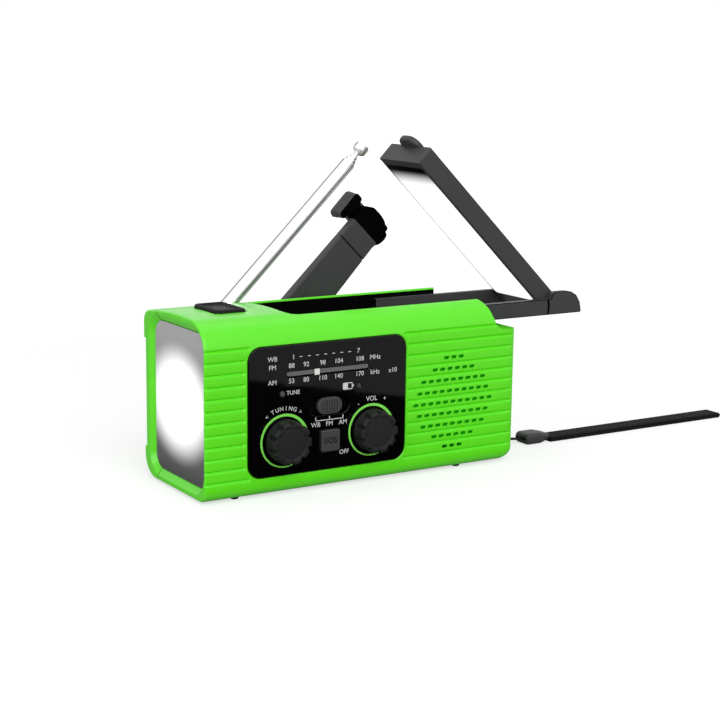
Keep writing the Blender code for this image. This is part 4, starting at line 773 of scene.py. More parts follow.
# %% The skin
GROOVE_STOPS, GROOVE_FADE, CORNER_RUN = (-60.5, 20.7), 0.9, 2.0


def groove_share(x, level):
    """How deep a groove runs at x: it stops by the panel, the outer two running on round its corners."""
    run = CORNER_RUN if level in (0, GROOVES - 1) else 0.0
    outside = max(GROOVE_STOPS[0] + run - x, x - GROOVE_STOPS[1] + run)
    t = min(max(outside / GROOVE_FADE + 0.5, 0.0), 1.0)
    return t * t * (3 - 2 * t)


def housing_ring(x, inset, grooves=1.0, ease=0.0):
    """One ring of the skin; ease keeps the front and back from drawing in as much as the rest."""
    ring = []
    for (y, z, share, level), (ny, nz) in zip(SECTION, NORMALS):
        deep = inset * (1 - ease * abs(ny)) + GROOVE_DEEP * share * grooves * groove_share(x, level)
        ring.append((x, y - ny * deep, z - nz * deep))
    return ring


def housing_skin():
    rings = []
    for turn in (0, 30, 60, 90):
        a = math.radians(turn)
        x, inset = LEFT_END - LEFT_ROUND * math.cos(a), LEFT_ROUND - LEFT_ROUND * math.sin(a)
        rings.append(housing_ring(x, inset))
    near = [-61.2, -60.9, -60.7, -60.5, -60.3, -60.1, -59.8, -59.1, -58.8, -58.6, -58.4, -58.2, -57.8]
    inner = [-46, -34, -22, -10, 2, 12]
    far = [18.0, 18.3, 18.5, 18.7, 18.9, 19.2, 20.1, 20.4, 20.6, 20.8, 21.0, 21.4]
    for x in [-70, *near, *inner, *far, 32, 45, 58, 68]:
        rings.append(housing_ring(x, 0))
    for turn in range(0, 91, 10):
        a = math.radians(turn)
        x, inset = RIGHT_END + RIGHT_ROUND * math.sin(a), RIGHT_ROUND * (1 - math.cos(a))
        rings.append(housing_ring(x, inset, max(1 - turn / 60, 0), FACE_EASE))
    return loft(rings)


print("skin: from", LEFT_END - LEFT_ROUND, "to", RIGHT_END + RIGHT_ROUND, "mm")


# %% Cutters for the shells
def hollow():
    """The room inside, kept clear of what is let into the housing from above and behind."""
    rings = [housing_ring(-76, WALL, 0), housing_ring(RIGHT_END, WALL, 0)]
    inner = RIGHT_ROUND - WALL
    for turn in (30, 60, 90):
        a = math.radians(turn)
        rings.append(housing_ring(RIGHT_END + inner * math.sin(a), WALL + inner * (1 - math.cos(a)), 0))
    lamp_bay = block(-36.2, 90, -22.6, 60, 62.6, 90)
    back_recess = block(-90, 90, 25.4, 60, 11.8, 64.7)
    antenna_groove = block(-51.2, 90, 20.2, 60, 64.7, 90)
    right_step = block(58.8, 90, -60, 60, 60.8, 90)
    return carve(loft(rings), lamp_bay, back_recess, antenna_groove, right_step)


def bay_outline(grow):
    corner = 5 + grow
    return (
        [(90, -20.6 - grow), (90, 20.6 + grow)]
        + arc(-29.2, 15.6, corner, 90, 180, 8)
        + arc(-29.2, -15.6, corner, 180, 270, 8)
    )


def bay_cutter():
    lip = [(64.8, 0), (74.9, 0), (75.5, 0.12), (76.0, 0.42), (76.4, 0.9), (76.6, 1.5), (90, 1.5)]
    return mouth(bay_outline, "Z", lip)


WINDOW, WINDOW_ROUND = (-28.4, 21.5, 6.2, 72), 7


def window_outline(grow):
    y0, y1, z0, z1 = WINDOW
    return rounded(y0 - 0.15 * grow, y1 + grow, z0 - grow, z1 + grow, WINDOW_ROUND + grow, 10)


def window_cutter():
    """The torch's opening, whose lip slopes inwards but for the front, where the wall is thin."""
    lip = [(-90, 3.0), (-79.02, 3.0), (-78.8, 2.7), (-77.2, 0.4), (-76.9, 0.1), (-76.6, 0), (-74, 0)]
    return mouth(window_outline, "X", lip)


print("cutters for both shells ready")

# %% Cutters for the front
SPEAKER = (45, (LOWEST + HIGHEST) / 2)
PANEL, PANEL_ROUND, PANEL_GAP = (-58.9, 19, LOWEST, HIGHEST), 6, 0.3
SLOT_COUNTS, SLOT_STEP = (3, 6, 9, 10, 11, 10, 9, 6, 3), 4


def slot_cutter():
    """The speaker's slots: rows of one flared slot."""
    rows = []
    for row, count in enumerate(SLOT_COUNTS):
        lip = [(-32, 0.3), (-30.02, 0.3), (-29.8, 0.08), (-29.5, 0), (-26.5, 0)]
        slot = mouth(growing(-1.3, 1.3, -0.6, 0.6, 0.599, 4), "Y", lip)
        first = (SPEAKER[0] - SLOT_STEP / 2 * (count - 1), 0, LOWEST + PITCH * (row + 0.5))
        rows.append(row_of(slot, count, first, (SLOT_STEP, 0, 0)))
    return together(*rows)


def end_step():
    """The step at the top of the right end, past which the lamp's tray slides."""
    bend = [(61, 79.5), (61.2, 78.2), (62.2, 76.9), (64.0, 75.4), (65.5, 73.0), (66.8, 69.0), (68.8, 64.8)]
    return plate([smooth_line(bend + [(72, 63.0)], 5) + [(90, 63.0), (90, 95), (61, 95)]], "Y", -60, 10)


def cord_hole():
    profile = [(0, 70), (0.95, 70), (0.95, 78.2), (1.2, 78.7), (1.7, 79.05), (1.7, 90), (0, 90)]
    return spin(profile, "X", STRAP_Y, STRAP_Z, 24)


def front_cutters():
    flare = [(-60, 0.45), (-30.02, 0.45), (-29.8, 0.15), (-29.4, 0), (-28.4, 0)]
    pocket_lip = [(y, PANEL_GAP + grow) for y, grow in flare]
    button_lip = [(68, 0), (76.5, 0), (77.0, 0.2), (77.4, 0.5), (90, 0.5)]
    output_socket = block(70, 90, -21.2, -14.8, 42.15, 55.85, 0.3, 2)
    charging_socket = block(70, 90, -20.0, -16.0, 24.2, 33.8, 0.3, 2)
    rear_side = block(-160, 160, 16, 70, -10, 100)
    return [
        end_step(),
        mouth(growing(*PANEL, PANEL_ROUND, 10), "Y", pocket_lip),
        plate([rounded(-54.9, 15, 13.3, 61.2, 4)], "Y", -60, -26.0),
        rod(24.6, -28.9, -26, "Y", *SPEAKER, 64),
        slot_cutter(),
        mouth(growing(-64.3, -48.7, -11.0, 12.6, 3.0, 8), "Z", button_lip),
        output_socket,
        charging_socket,
        cord_hole(),
        rear_side,
    ]


print("speaker:", sum(SLOT_COUNTS), "slots")


# %% Cut the two shells
def shell_finish(at, normal):
    """Painted shade: faces inside the case and the bay take the near-black second finish, those in the
    speaker's slots the darker green third.
    """
    x, y, z = at
    inward = normal.dot(Vector((0, 0, 38)) - at) > 0
    back_wall = 22 < y < 28.3 and normal.y < -0.9
    in_case = inward and -73.5 < x < 77 and 1.5 < z < 64 and (-27.95 < y < 22 or back_wall)
    off_groove = abs((z - LOWEST + PITCH / 2) % PITCH - PITCH / 2)
    in_slot = -29.85 < y < -27.5 and math.dist((x, z), SPEAKER) < 27 and off_groove > 1.2
    in_bay = x > -34.5 and abs(y) < 20.75 and 62.9 < z < 75.0
    return 1 if in_bay or in_case else 2 if in_slot else 0


SHELL = [GREEN, SHADE_BLACK, SLOT_SHADE_GREEN]
front = carve(housing_skin(), hollow(), bay_cutter(), window_cutter(), *front_cutters())
front = painted(front, shell_finish)
front_half = piece("front_housing", front, SHELL, "housing", ["front_shell"])
# The speaker cloth is a real part behind the slots; its darker green is painted shade, the same as the
# slots' walls.
cloth = rod(24.5, -28.88, -28.6, "Y", *SPEAKER, 64)
piece("speaker_cloth", cloth, SLOT_SHADE_GREEN, "housing")

DOOR, DOOR_GAP = growing(17, 72, 16.5, 37.5, 3, 6), 0.3
SCREWS = [(-61.5, 7.2), (-61.5, 62.0), (66.0, 8.0), (73.0, 59.2)]
CRANK_AXIS, MAST_FOOT = (-28.5, 38), (-43.1, 71)
recess_lip = [(27.6, 0), (29.3, 0), (29.7, 0.1), (29.95, 0.45), (60, 0.45)]
door_lip = [(26.3, 0), (27.3, 0), (27.55, 0.2), (60, 0.2)]
front_side = block(-160, 160, -60, 16.3, -10, 100)
right_step = block(67.8, 95, 10, 60, 63, 95, 0.5, 2)
antenna_groove = block(-49, 68.8, 22.4, 60, 66.9, 95, 0.6, 3)
rear = carve(
    housing_skin(),
    hollow(),
    bay_cutter(),
    window_cutter(),
    front_side,
    right_step,
    antenna_groove,
    mouth(growing(-158, 76, 14, 62.5, 6, 8), "Y", recess_lip),
    rod(3.8, 20, 60, "Y", *CRANK_AXIS, 40),
    mouth(DOOR, "Y", door_lip),
    together(*[rod(2.9, 24.4, 60, "Y", x, z) for x, z in SCREWS]),
    rod(1.6, 20, 24, "Y", *MAST_FOOT, 24),
)
rear = painted(rear, shell_finish)
rear_half = piece("rear_housing", rear, SHELL, "housing", ["rear_shell"])
print("shells:", len(front_half.data.polygons), "and", len(rear_half.data.polygons), "faces")

# %% [markdown]
# ## Control panel
# The panel is a gloss black plate let into the front, with openings for the
# knobs, the band switch, the signal button and the dial. Its scale and names are
# printed: thin raised ink, from text objects turned into meshes, so that the
# letters stay sharp at any distance.

# %% Make the panel
PANEL_Y = -30.2
TUNE, VOLUME, SWITCH, SIGNAL = (-41.7, 24.3), (1.5, 24.3), (-19.8, 37.3), (-19.7, 22.0)
DOTS = ((-42.8, 44.7), (-5.1, 44.6))
holes = [arc(*shaft, 3.5, 0, 350, 35) for shaft in (TUNE, VOLUME)]
holes += [arc(*dot, 1.4, 0, 345, 23) for dot in DOTS]
holes += [centred(SWITCH, 10, 4.1, 4.09, 12), centred(SIGNAL, 5, 5, 1.2, 5)]
holes.append(rounded(-40.8, 0.0, 51.1, 53.8, 1.0))
panel_shape = plate([rounded(*PANEL, PANEL_ROUND, 12), *holes], "Y", PANEL_Y, PANEL_Y + 1.5, 0.2, 2)
panel = piece("front_panel", panel_shape, GLOSS, "housing", ["control_panel"])
scale = plate([rounded(-40.6, -0.2, 51.75, 53.7, 0.95)], "Y", -29.95, -28.9, 0.15, 2)
piece("dial_bar", scale, DIAL_GREY, "housing")
# Painted shade: a near-black plate behind the switch's opening stands in for the shade inside the case.
well = [centred(SWITCH, 11.7, 5.3, 4, 6), centred(SWITCH, 6.8, 1.9, 1, 4)]
piece("switch_well", plate(well, "Y", -27.4, -27.0), SHADE_BLACK, "housing")
print("panel:", len(panel.data.polygons), "faces")


# %% Ink for the panel
def lettering(text, size, bold):
    """Letters as a flat bmesh about their own middle, drawn a little bold."""
    font = bpy.data.curves.new("text", "FONT")
    font.body = text
    font.size = size
    font.offset = size * bold
    font.extrude = 0.03
    font.resolution_u = 3
    font.align_x, font.align_y = "CENTER", "CENTER"
    return solid_from(font)


def printed(text, x, z, size, turn=0.0, y=PANEL_Y - 0.035, bold=0.004):
    shape = lettering(text, size, bold)
    place = Matrix.Translation((x, y, z)) @ TURN["Y"] @ Matrix.Rotation(math.radians(turn), 4, "Z")
    bmesh.ops.transform(shape, matrix=place, verts=shape.verts)
    return shape


def printed_arc(text, centre, radius, middle, step, size):
    letters = []
    for i, letter in enumerate(text):
        turn = middle + step * ((len(text) - 1) / 2 - i)
        letters.append(printed(letter, *around(*centre, radius, math.radians(turn)), size, turn - 90))
    return letters


def mark(outlines):
    """A printed shape on the panel."""
    return plate(outlines, "Y", PANEL_Y - 0.065, PANEL_Y - 0.005)


def swoop(centre, start=21, end=289, radius=11.7, wide=1.35, narrow=0.6, steps=60):
    """A printed arc that tapers along its way."""
    inner = []
    for i in range(steps + 1):
        a = math.radians(end + (start - end) * i / steps)
        inner.append(around(*centre, radius - narrow - (wide - narrow) * i / steps, a))
    return mark([arc(*centre, radius, start, end, steps) + inner])


print("ink ready")

# %% Print the scale and the names
STOPS = (-38.5, -31.4, -23.3, -15.4, -4.8)
BAND_STEP = 6.8
BANDS = {"WB": SWITCH[0] - BAND_STEP, "FM": SWITCH[0], "AM": SWITCH[0] + BAND_STEP}
LABELS = [("WB", -47.7, 59.7), ("FM", -47.7, 56.1), ("AM", -47.7, 49.7)]
LABELS += [("1", -37.6, 59.9), ("7", -5.6, 59.9)]
LABELS += [("MHz", 3.0, 56.4), ("kHz", 3.0, 49.8), ("x10", 12.2, 49.8)]
LABELS += [(str(number), x, 56.3) for number, x in zip((88, 92, 98, 104, 108), STOPS)]
LABELS += [(str(number), x, 49.7) for number, x in zip((53, 80, 110, 140, 170), STOPS)]
LABELS += [(name, x, 29.3) for name, x in BANDS.items()]
inks = [printed(*label, 2.9) for label in LABELS]
inks += [printed("TUNE", -37.7, 44.7, 2.5), printed("OFF", -12.3, 16.0, 2.8)]
inks += [printed("VOL", 1.5, 38.1, 3.0), printed("+", 8.2, 37.5, 2.8), printed("-", -5.2, 36.4, 2.6)]
inks += printed_arc("TUNING", TUNE, 13.9, 92, 9.0, 2.6)
inks += printed_arc("<", TUNE, 13.9, 128, 0, 2.4) + printed_arc(">", TUNE, 13.9, 57, 0, 2.4)
inks += [mark([centred((x, 59.9), 0.75, 0.15, 0.14, 2)]) for x in range(-34, -7, 4)]
inks += [mark([rounded(x - 0.2, x + 0.2, 31.2, 32.7, 0.19, 2)]) for x in BANDS.values()]
inks.append(mark([rounded(BANDS["WB"] - 0.2, BANDS["AM"] + 0.2, 30.95, 31.3, 0.16, 2)]))
cell = [rounded(-13.2, -8.4, 43.4, 46.4, 0.5, 4), rounded(-10.7, -8.75, 43.75, 46.05, 0.25, 4)]
inks += [mark(cell), mark([rounded(-8.35, -7.8, 44.3, 45.5, 0.2, 3)])]
print_white = piece("panel_print", together(*inks), INK, "housing")
piece("knob_rings", together(swoop(TUNE), swoop(VOLUME)), GREEN_INK, "housing")
print("print:", len(print_white.data.polygons), "faces")

# %% [markdown]
# ## Knobs, switch and button
# Both knobs are turned shapes: a plain flange, and above it a cap with ten finger
# notches round a flat middle. The notch is written into the turning radius, so it
# runs cleanly over the rim. Their shafts go through the board as in the drawing,
# and the tuning shaft carries its pinion.


# %% Make the knobs
NOTCHES, NOTCH_HALF, NOTCH_DEEP = 10, 1.35, 1.5
KNOB, MIDDLE, FLANGE_Y = 9.4, 6.8, -32.3


def notched(radius, along, a):
    """The turning radius with its finger notches, which fade out towards the middle of the cap."""
    if radius < MIDDLE or along > FLANGE_Y:
        return radius
    off = abs((a / math.tau * NOTCHES) % 1 - 0.5) * math.tau / NOTCHES * KNOB
    share = math.cos(math.pi / 2 * off / NOTCH_HALF) if off < NOTCH_HALF else 0.0
    return radius - NOTCH_DEEP * share * (radius - MIDDLE) / (KNOB - MIDDLE)


def knob(centre, shaft_end):
    cap = [(0, -37.35), (6.3, -37.35), (6.55, -37.2), (MIDDLE, -37.35), (7.1, -37.55), (8.2, -37.6)]
    rim = [(8.8, -37.5), (9.2, -37.15), (KNOB, -36.5), (KNOB, FLANGE_Y - 0.1), (9.3, FLANGE_Y + 0.05)]
    flange = [(KNOB, -31.9), (KNOB, -30.9), (9.2, -30.5)]
    shaft = [(3.0, -30.5), (3.0, shaft_end), (0, shaft_end)]
    return spin(cap + rim + flange + shaft, "Y", *centre, 200, notched)


def pinion_outline(cu, cv, teeth):
    points = []
    for k in range(teeth):
        for radius, part in ((-1.25, -0.27), (0.8, -0.1), (0.8, 0.1), (-1.25, 0.27)):
            points.append(around(cu, cv, teeth / 2 + radius, math.radians((k + part) * 360 / teeth)))
    return points


tuning = carve(knob(TUNE, -12.8), plate([pinion_outline(*TUNE, 12)], "Y", -13.0, -11.4), operation="UNION")
piece("tuning_dial_knob", tuning, GREY, "tuning", ["tuning_knob"])
piece("volume_dial_knob", knob(VOLUME, -24.8), GREY, "volume", ["volume_knob"])
print("knobs:", NOTCHES, "notches each")


# %% Make the switch and the button
RIDGES, RIDGE_STEP = 7, 1.2


def post(at, half_x, half_z, y0, y1, soft=0.2, steps=1):
    """A block that stands out of the panel about a place on it."""
    return block(at[0] - half_x, at[0] + half_x, y0, y1, at[1] - half_z, at[1] + half_z, soft, steps)


def slider_shape():
    base = plate([centred(SWITCH, 6.0, 3.6, 3.4, 10)], "Y", -30.9, -28.8, 0.3, 2)
    ridge = post((0, SWITCH[1]), 0.28, 2.7, -31.4, -30.7, 0.2, 2)
    first = SWITCH[0] - RIDGE_STEP * (RIDGES - 1) / 2
    ridges = row_of(ridge, RIDGES, (first, 0, 0), (RIDGE_STEP, 0, 0))
    # Painted shade: a near-black shutter behind the slider stands in for the shade inside the case round
    # the switch.
    shade_shutter = plate([centred(SWITCH, 9.6, 3.1, 2, 6)], "Y", -28.5, -28.2)
    whole = together(base, ridges, post(SWITCH, 2.0, 1.5, -29.0, -25.9), shade_shutter)
    return painted(whole, lambda at, normal: -28.55 < at.y < -28.15)


piece("band_switch_key", slider_shape(), [BUTTON, SHADE_BLACK], "band", ["band_slider"])
key = plate([centred(SIGNAL, 4.7, 4.7, 1.0, 5)], "Y", -31.4, -27.4, 0.35, 3)
key = together(key, post(SIGNAL, 5.7, 5.7, -28.4, -27.2), post(SIGNAL, 2.0, 2.0, -28.2, -23.2))
piece("signal_key", key, BUTTON, "sos", ["sos_button"])
letters = printed("SOS", *SIGNAL, 3.7, y=-31.43, bold=0.02)
piece("signal_letters", letters, PRESS_BLACK, "sos")
print("switch and button ready")

# %% Make the pointer and its rack
TOOTH_FOOT, TOOTH_TIP = 14.05, 16.1
TOOTH = ((0.27, TOOTH_FOOT), (0.1, TOOTH_TIP), (-0.1, TOOTH_TIP), (-0.27, TOOTH_FOOT))
rack = [(-53.6, 11.3), (-12.1, 11.3), (-12.1, TOOTH_FOOT)]
for k in range(4, -8, -1):
    rack += [(-26.7 + math.pi * (k - 0.5 + part), z) for part, z in TOOTH]
rack = plate([rack + [(-53.6, TOOTH_FOOT)]], "Y", -13.2, -9.0)
NEEDLE_X = -26.1
STEM, NECK = (3.0, -10.6, -9.1, 12.1, 53.9, 0.2, 1), (0.9, -28.3, -9.8, 52.0, 53.2, 0.2, 1)
DROP, FOOT = (0.5, -28.6, -28.0, 51.3, 53.2, 0.1, 1), (0.5, -30.3, -28.3, 51.25, 51.6, 0.1, 1)
TIP = (1.25, -30.45, -30.05, 51.3, 53.95, 0.15, 2)
needle = [block(NEEDLE_X - half, NEEDLE_X + half, *rest) for half, *rest in (STEM, NECK, DROP, FOOT, TIP)]
pointer = together(rack, *needle)
piece("dial_needle", pointer, WHITE, "pointer", ["dial_pointer"])
print("pointer:", len(needle), "steps from the rack to its tip")

# %% [markdown]
# ## Torch
# The left end is a lamp: a moulded reflector behind a frosted window, lit in the
# middle. A light inside the bowl would need many samples to look clean, so the glow
# sits on the window as light that fades from its centre, over a grey painted for the
# bowl behind it, with painted shade that darkens it towards the bottom.


# %% Make the torch's window
def torch_glass():
    """The torch's window: lit in the middle, over a grey painted for the bowl, with painted shade that
    darkens towards the bottom.
    """
    made, tree, shader, place = glowing("torch_glass", 1.1, (-78, -2.0, 38.4), (60, 36, 28), 0.42)
    # Painted shade: the grey of the bowl darkens with height towards the bottom.
    height = node(tree, "SeparateXYZ")
    shade_by_height = preset(node(tree, "MapRange"), From_Min=0.008, From_Max=0.070)
    linked(
        tree,
        (place, height.inputs["Vector"]),
        (height.outputs["Z"], shade_by_height.inputs["Value"]),
        (tone_mix(tree, shade_by_height.outputs["Result"], [0.05] * 3, [0.50] * 3), shader.inputs["Base Color"]),
    )
    return made


SILVER = moulded("silvered_bowl", (0.26, 0.26, 0.27), 0.38, 1.0, bump=0.05, tone=0.05, drift=60)
LENS_GAP = 0.04
lens_outline = growing(*WINDOW, WINDOW_ROUND, 10)(-LENS_GAP)
lens_shape = plate([lens_outline], "X", -77.3, -75.9, 0.3, 2)
lens_shape = painted(lens_shape, lambda at, normal: abs(normal.x) < 0.5)
piece("torch_window", lens_shape, [torch_glass(), SILVER], "housing", ["torch_lens"])
print("torch window ready")

# %% Make the torch's bowl and button
MOUTH = rounded(-27.1, 21.1, 7.0, 71.2, 7, 12)
MOUTH_Y, MOUTH_Z, SOCKET = -3.45, 39.1, 4.0


def bowl_ring(x, share, grow):
    """The mouth's outline drawn in towards the diode's socket, with a share of its reach left."""
    ring = []
    for y, z in MOUTH:
        dy, dz = y - MOUTH_Y, z - MOUTH_Z
        size = math.hypot(dy, dz)
        radius = SOCKET + (size - SOCKET) * share + grow
        ring.append((x, MOUTH_Y + dy / size * radius, MOUTH_Z + dz / size * radius))
    return ring


inside = [(0, 1), (1.8, 0.875), (3.6, 0.72), (5.4, 0.53), (7.2, 0.32), (8.2, 0.17), (9.0, 0.0)]
bowl = [bowl_ring(-75.7 + x, share, 0) for x, share in inside]
bowl += [bowl_ring(-74.9 + x, share, 0.8 if share < 1 else 0.3) for x, share in reversed(inside)]
piece("torch_bowl", loft(bowl, closed=True), SILVER, "housing", ["torch_reflector"])
dome = [(73.2, 0), (77.6, 0), (78.2, -0.15), (78.55, -0.5), (78.7, -1.0), (78.7, -1.7), (78.45, -2.1)]
press = mouth(growing(-64, -49, -10.7, 12.3, 2.8, 8), "Z", dome + [(78.0, -2.6), (77.9, -2.8)])
press = together(press, block(-65.2, -47.8, -11.9, 13.5, 72.6, 73.8, 0.2, 1))
piece("torch_push_button", press, PRESS_BLACK, "torch_switch", ["torch_button"])
icon = [disc(-56.5, 0.8, 2.6), disc(-56.5, 0.8, 1.9)]
piece("torch_button_mark", plate(icon, "Z", 77.9, 77.98), BUTTON, "torch_switch")
print("torch ready")

# %% [markdown]
# ## Reading lamp
# The lamp arm slides out on a tray and tips up on a pin. Its underside holds a
# white strip of diodes behind a lens and its top a solar panel. The pieces are
# drawn along their own axis and one matrix stands them in place, so the arm can
# be read straight from the drawing.

# %% Make the lamp arm
LAMP_PIN, LAMP_TILT = (107.5, 69.5), 44.3


def stood(foot, y, tilt):
    """The matrix of an arm that is drawn along x and leans on its foot, which is given as (x, z)."""
    return Matrix.Translation((foot[0], y, foot[1])) @ Matrix.Rotation(math.radians(tilt), 4, "Y")


LAMP = stood(LAMP_PIN, 0, LAMP_TILT)
LAMP_END, LAMP_TOP, LAMP_UNDER = -101.3, 6.55, -2.8
heel = [(2.7, LAMP_UNDER), (3.6, -1.9), (4.1, 0), (3.8, 1.4), (2.4, 3.8), (-1.5, LAMP_TOP)]
arm_side = [(LAMP_END, LAMP_UNDER), *heel, (LAMP_END, LAMP_TOP)]
tab = arc(LAMP_END, 1.75, 5.0, 90, 180, 10) + arc(LAMP_END, -1.75, 5.0, 180, 270, 10)
tab = plate([[(-99, -6.75), (-99, 6.75)] + tab], "Z", 5.55, 8.55, 1.0, 4)
arm = carve(plate([arm_side], "Y", -16.5, 16.5, 0.7, 3), tab, operation="UNION")
strip_lip = [(3.15, 0), (-2.0, 0), (-2.4, 0.15), (-2.7, 0.6), (-6, 0.6)]
solar_lip = [(4.95, 0), (6.2, 0), (6.4, 0.1), (6.6, 0.35), (9, 0.35)]
arm = carve(
    arm,
    mouth(growing(-94.3, -10, -14.1, 14.1, 2, 5), "Z", strip_lip),
    mouth(growing(-95.8, -8.5, -14.5, 14.5, 1.5, 5), "Z", solar_lip),
    rod(1.6, -30, 30, "Y", 0, 0),
)
piece("lamp_body", arm, BLACK, "lamp", ["lamp_arm"], LAMP)
STRIP = rounded(-94.0, -10.3, -13.8, 13.8, 1.8, 5)


def lamp_glass():
    middle = LAMP @ Vector((-47, 0, -2))
    made, _, shader, _ = glowing("lamp_glass", 1.25, middle, (48, 22, 60), 0.22, LAMP_TILT, box=True)
    preset(shader, Base_Color=(0.004, 0.004, 0.004, 1), Specular_IOR_Level=0.1)
    return made


strip = together(
    plate([rounded(-97.5, -6.5, -14.9, 14.9, 1.8, 5)], "Z", -2.94, -2.81, 0.05, 1),
    plate([STRIP], "Z", -2.83, -1.4),
)
piece("lamp_window", strip, lamp_glass(), "lamp", ["lamp_lens"], LAMP)
diode_case = block(-2.5, 2.5, -1.75, 1.75, 0.7, 1.4, 0.15, 2)
diode_dome = block(-1.8, 1.8, -1.2, 1.2, 0.55, 0.9, 0.1, 1)
diodes = row_of(together(diode_case, diode_dome), 6, (-84, 0, 0), (13.2, 0, 0), WHITE)
board = together(plate([STRIP], "Z", 1.35, 2.85), diodes)
piece("lamp_diodes", board, WHITE, "lamp", ["lamp_led_board"], LAMP)
print("lamp arm ready")


# %% Make the solar panel
def cut_cells():
    """Dark blue cells under glass, with the mottling of cut silicon."""
    made, tree, shader, place = blank("solar_cells")
    preset(shader, Roughness=0.08, Coat_Weight=0.6, Coat_Roughness=0.03)
    grain = preset(node(tree, "TexVoronoi", feature="F1"), Scale=260.0)
    tone = tone_mix(tree, grain.outputs["Distance"], (0.004, 0.007, 0.026), (0.012, 0.02, 0.07))
    linked(tree, (place, grain.inputs["Vector"]), (tone, shader.inputs["Base Color"]))
    return made


panel_top = plate([rounded(-95.5, -8.8, -14.2, 14.2, 1.3, 4)], "Z", 5.25, 6.3, 0.12, 1)
piece("solar_glass", panel_top, cut_cells(), "lamp", ["solar_panel"], LAMP)
fingers = row_of(block(-0.12, 0.12, -13.6, 13.6, 6.29, 6.33), 28, (-92.6, 0, 0), (3.0, 0, 0))
ribbons = row_of(block(-94.6, -9.6, -0.4, 0.4, 6.29, 6.34), 3, (0, -7.2, 0), (0, 7.2, 0))
piece("solar_wires", together(fingers, ribbons), STEEL, "lamp", place=LAMP)
print("solar panel ready")


# %% Make the tray
def tray_finish(at, normal):
    """The trough and the grooves in the sides are in deep shade and take the second finish."""
    out = abs(at.y)
    return out < 16.9 or 19.85 < out < 20.25 and abs(normal.z) < 0.95


tray_end = [(125, 65.5), (125, 67.1), (124.2, 70.7), (122, 74.0), (119, 75.7), (116, 76.2), (109.5, 76.2)]
tray_side = [(33, 65.5), *tray_end, (107.8, 75.4), (107, 73), (33, 73)]
groove = arc(94.5, 69.3, 11.5, -28, 42, 16) + arc(94.5, 69.3, 10.3, 42, -28, 16)
trough = block(-79, 119, -17, 17, 66.3, 90)
heel_room = block(98, 118.99, -17, 17, 60, 70)
open_end = block(118, 140, -17, 17, 68.5, 90)
tray = carve(
    plate([tray_side], "Y", -20.3, 20.3, 0.6, 3),
    trough,
    heel_room,
    open_end,
    rod(1.6, -19.85, 19.85, "Y", *LAMP_PIN),
    *[plate([groove], "Y", start, end) for start, end in ((-40, -19.9), (19.9, 40))],
)
tray = painted(tray, tray_finish)
piece("lamp_carriage", tray, [BLACK, SHADE_BLACK], "tray", ["lamp_tray"])
print("tray ready")

# %% [markdown]
# ## Antenna
# Four chromed tubes slide into each other. Each is a turned profile with its bore
# drawn in, and the tip ends in a small flared cap. Polished tube shows dark lines
# along its sides, where it mirrors the room's far walls. The stage has no walls, so
# these reflections are painted into the finish, by the way each point of the tube faces.

# %% Make the antenna
MAST = stood(MAST_FOOT, 26.2, -44.5)


def mast_chrome():
    """Chrome with painted reflections: a dark line along the lower side of the mast and a fine one along
    the upper.
    """
    made, tree, shader, _ = blank("mast_chrome")
    preset(shader, Specular_IOR_Level=0.0, Roughness=0.08)
    facing = node(tree, "VectorMath", operation="DOT_PRODUCT")
    facing.inputs[1].default_value = MAST.to_3x3() @ Vector((0, -0.44, -0.9))
    share = preset(node(tree, "MapRange"), From_Min=-1.0)
    # Painted reflection: tone and metal follow the way the surface faces.
    painted_reflection = node(tree, "ValToRGB")
    ramp = painted_reflection.color_ramp
    for place, tone in ((0.0, 0.3), (0.06, 0.3), (0.12, 0.97), (0.74, 0.97), (0.80, 0.05), (1.0, 0.05)):
        stop = ramp.elements.new(place)
        stop.color = (tone, tone, tone, 1)
    ramp.elements.remove(ramp.elements[0])
    ramp.elements.remove(ramp.elements[-1])
    linked(
        tree,
        (node(tree, "TexCoord").outputs["Normal"], facing.inputs[0]),
        (facing.outputs["Value"], share.inputs["Value"]),
        (share.outputs["Result"], painted_reflection.inputs["Fac"]),
        (painted_reflection.outputs["Color"], shader.inputs["Base Color"]),
        (math_node(tree, "MULTIPLY", painted_reflection.outputs["Color"], 0.55), shader.inputs["Metallic"]),
    )
    return made


def mast_tube(start, end, radius, inner, stop):
    outside = [(0, start), (radius - 0.2, start), (radius, start + 0.2), (radius, end - 0.5)]
    bore = [(radius - 0.15, end - 0.15), (inner + 0.1, end), (inner, end - 0.2), (inner, stop), (0, stop)]
    return spin(outside + bore, "X", 0, 0, 40)


MAST_PAINTED_CHROME = mast_chrome()
foot = plate([disc(0, 0, 3.4)], "Y", -2.8, 2.8, 0.3, 2)
lowest = carve(mast_tube(2.7, 92.7, 3.3, 2.9, 6.0), foot, operation="UNION")
lowest = carve(lowest, rod(1.6, -9, 9, "Y", 0, 0, 24))
cap = [(0, 104.0), (1.6, 103.95), (2.6, 103.7), (3.2, 103.2), (3.4, 102.5), (3.4, 100.6), (3.25, 99.9)]
neck = [(2.7, 99.3), (1.9, 98.9), (1.45, 98.5), (1.2, 98.0), (1.2, 13.0), (0, 13.0)]
for name, shape, body, stands_for in (
    ("mast_lowest", lowest, "antenna", "antenna_tube"),
    ("mast_second", mast_tube(7.0, 94.6, 2.6, 2.2, 9.0), "antenna_2", "antenna_section_2"),
    ("mast_third", mast_tube(10.0, 96.5, 1.9, 1.5, 12.0), "antenna_3", "antenna_section_3"),
    ("mast_tip", spin(cap + neck, "X", 0, 0, 40), "antenna_4", "antenna_tip"),
):
    piece(name, shape, MAST_PAINTED_CHROME, body, [stands_for], MAST)
print("antenna ready")

# %% [markdown]
# ## Crank
# The hand crank folds against the back. Its arm is a broad moulded lever with a
# parting line near the end, a knuckle, and a grip that folds on a pin. As one mesh
# its corners would have to be rounded one by one, so it is made of plates with soft
# edges, joined and cut by Booleans.

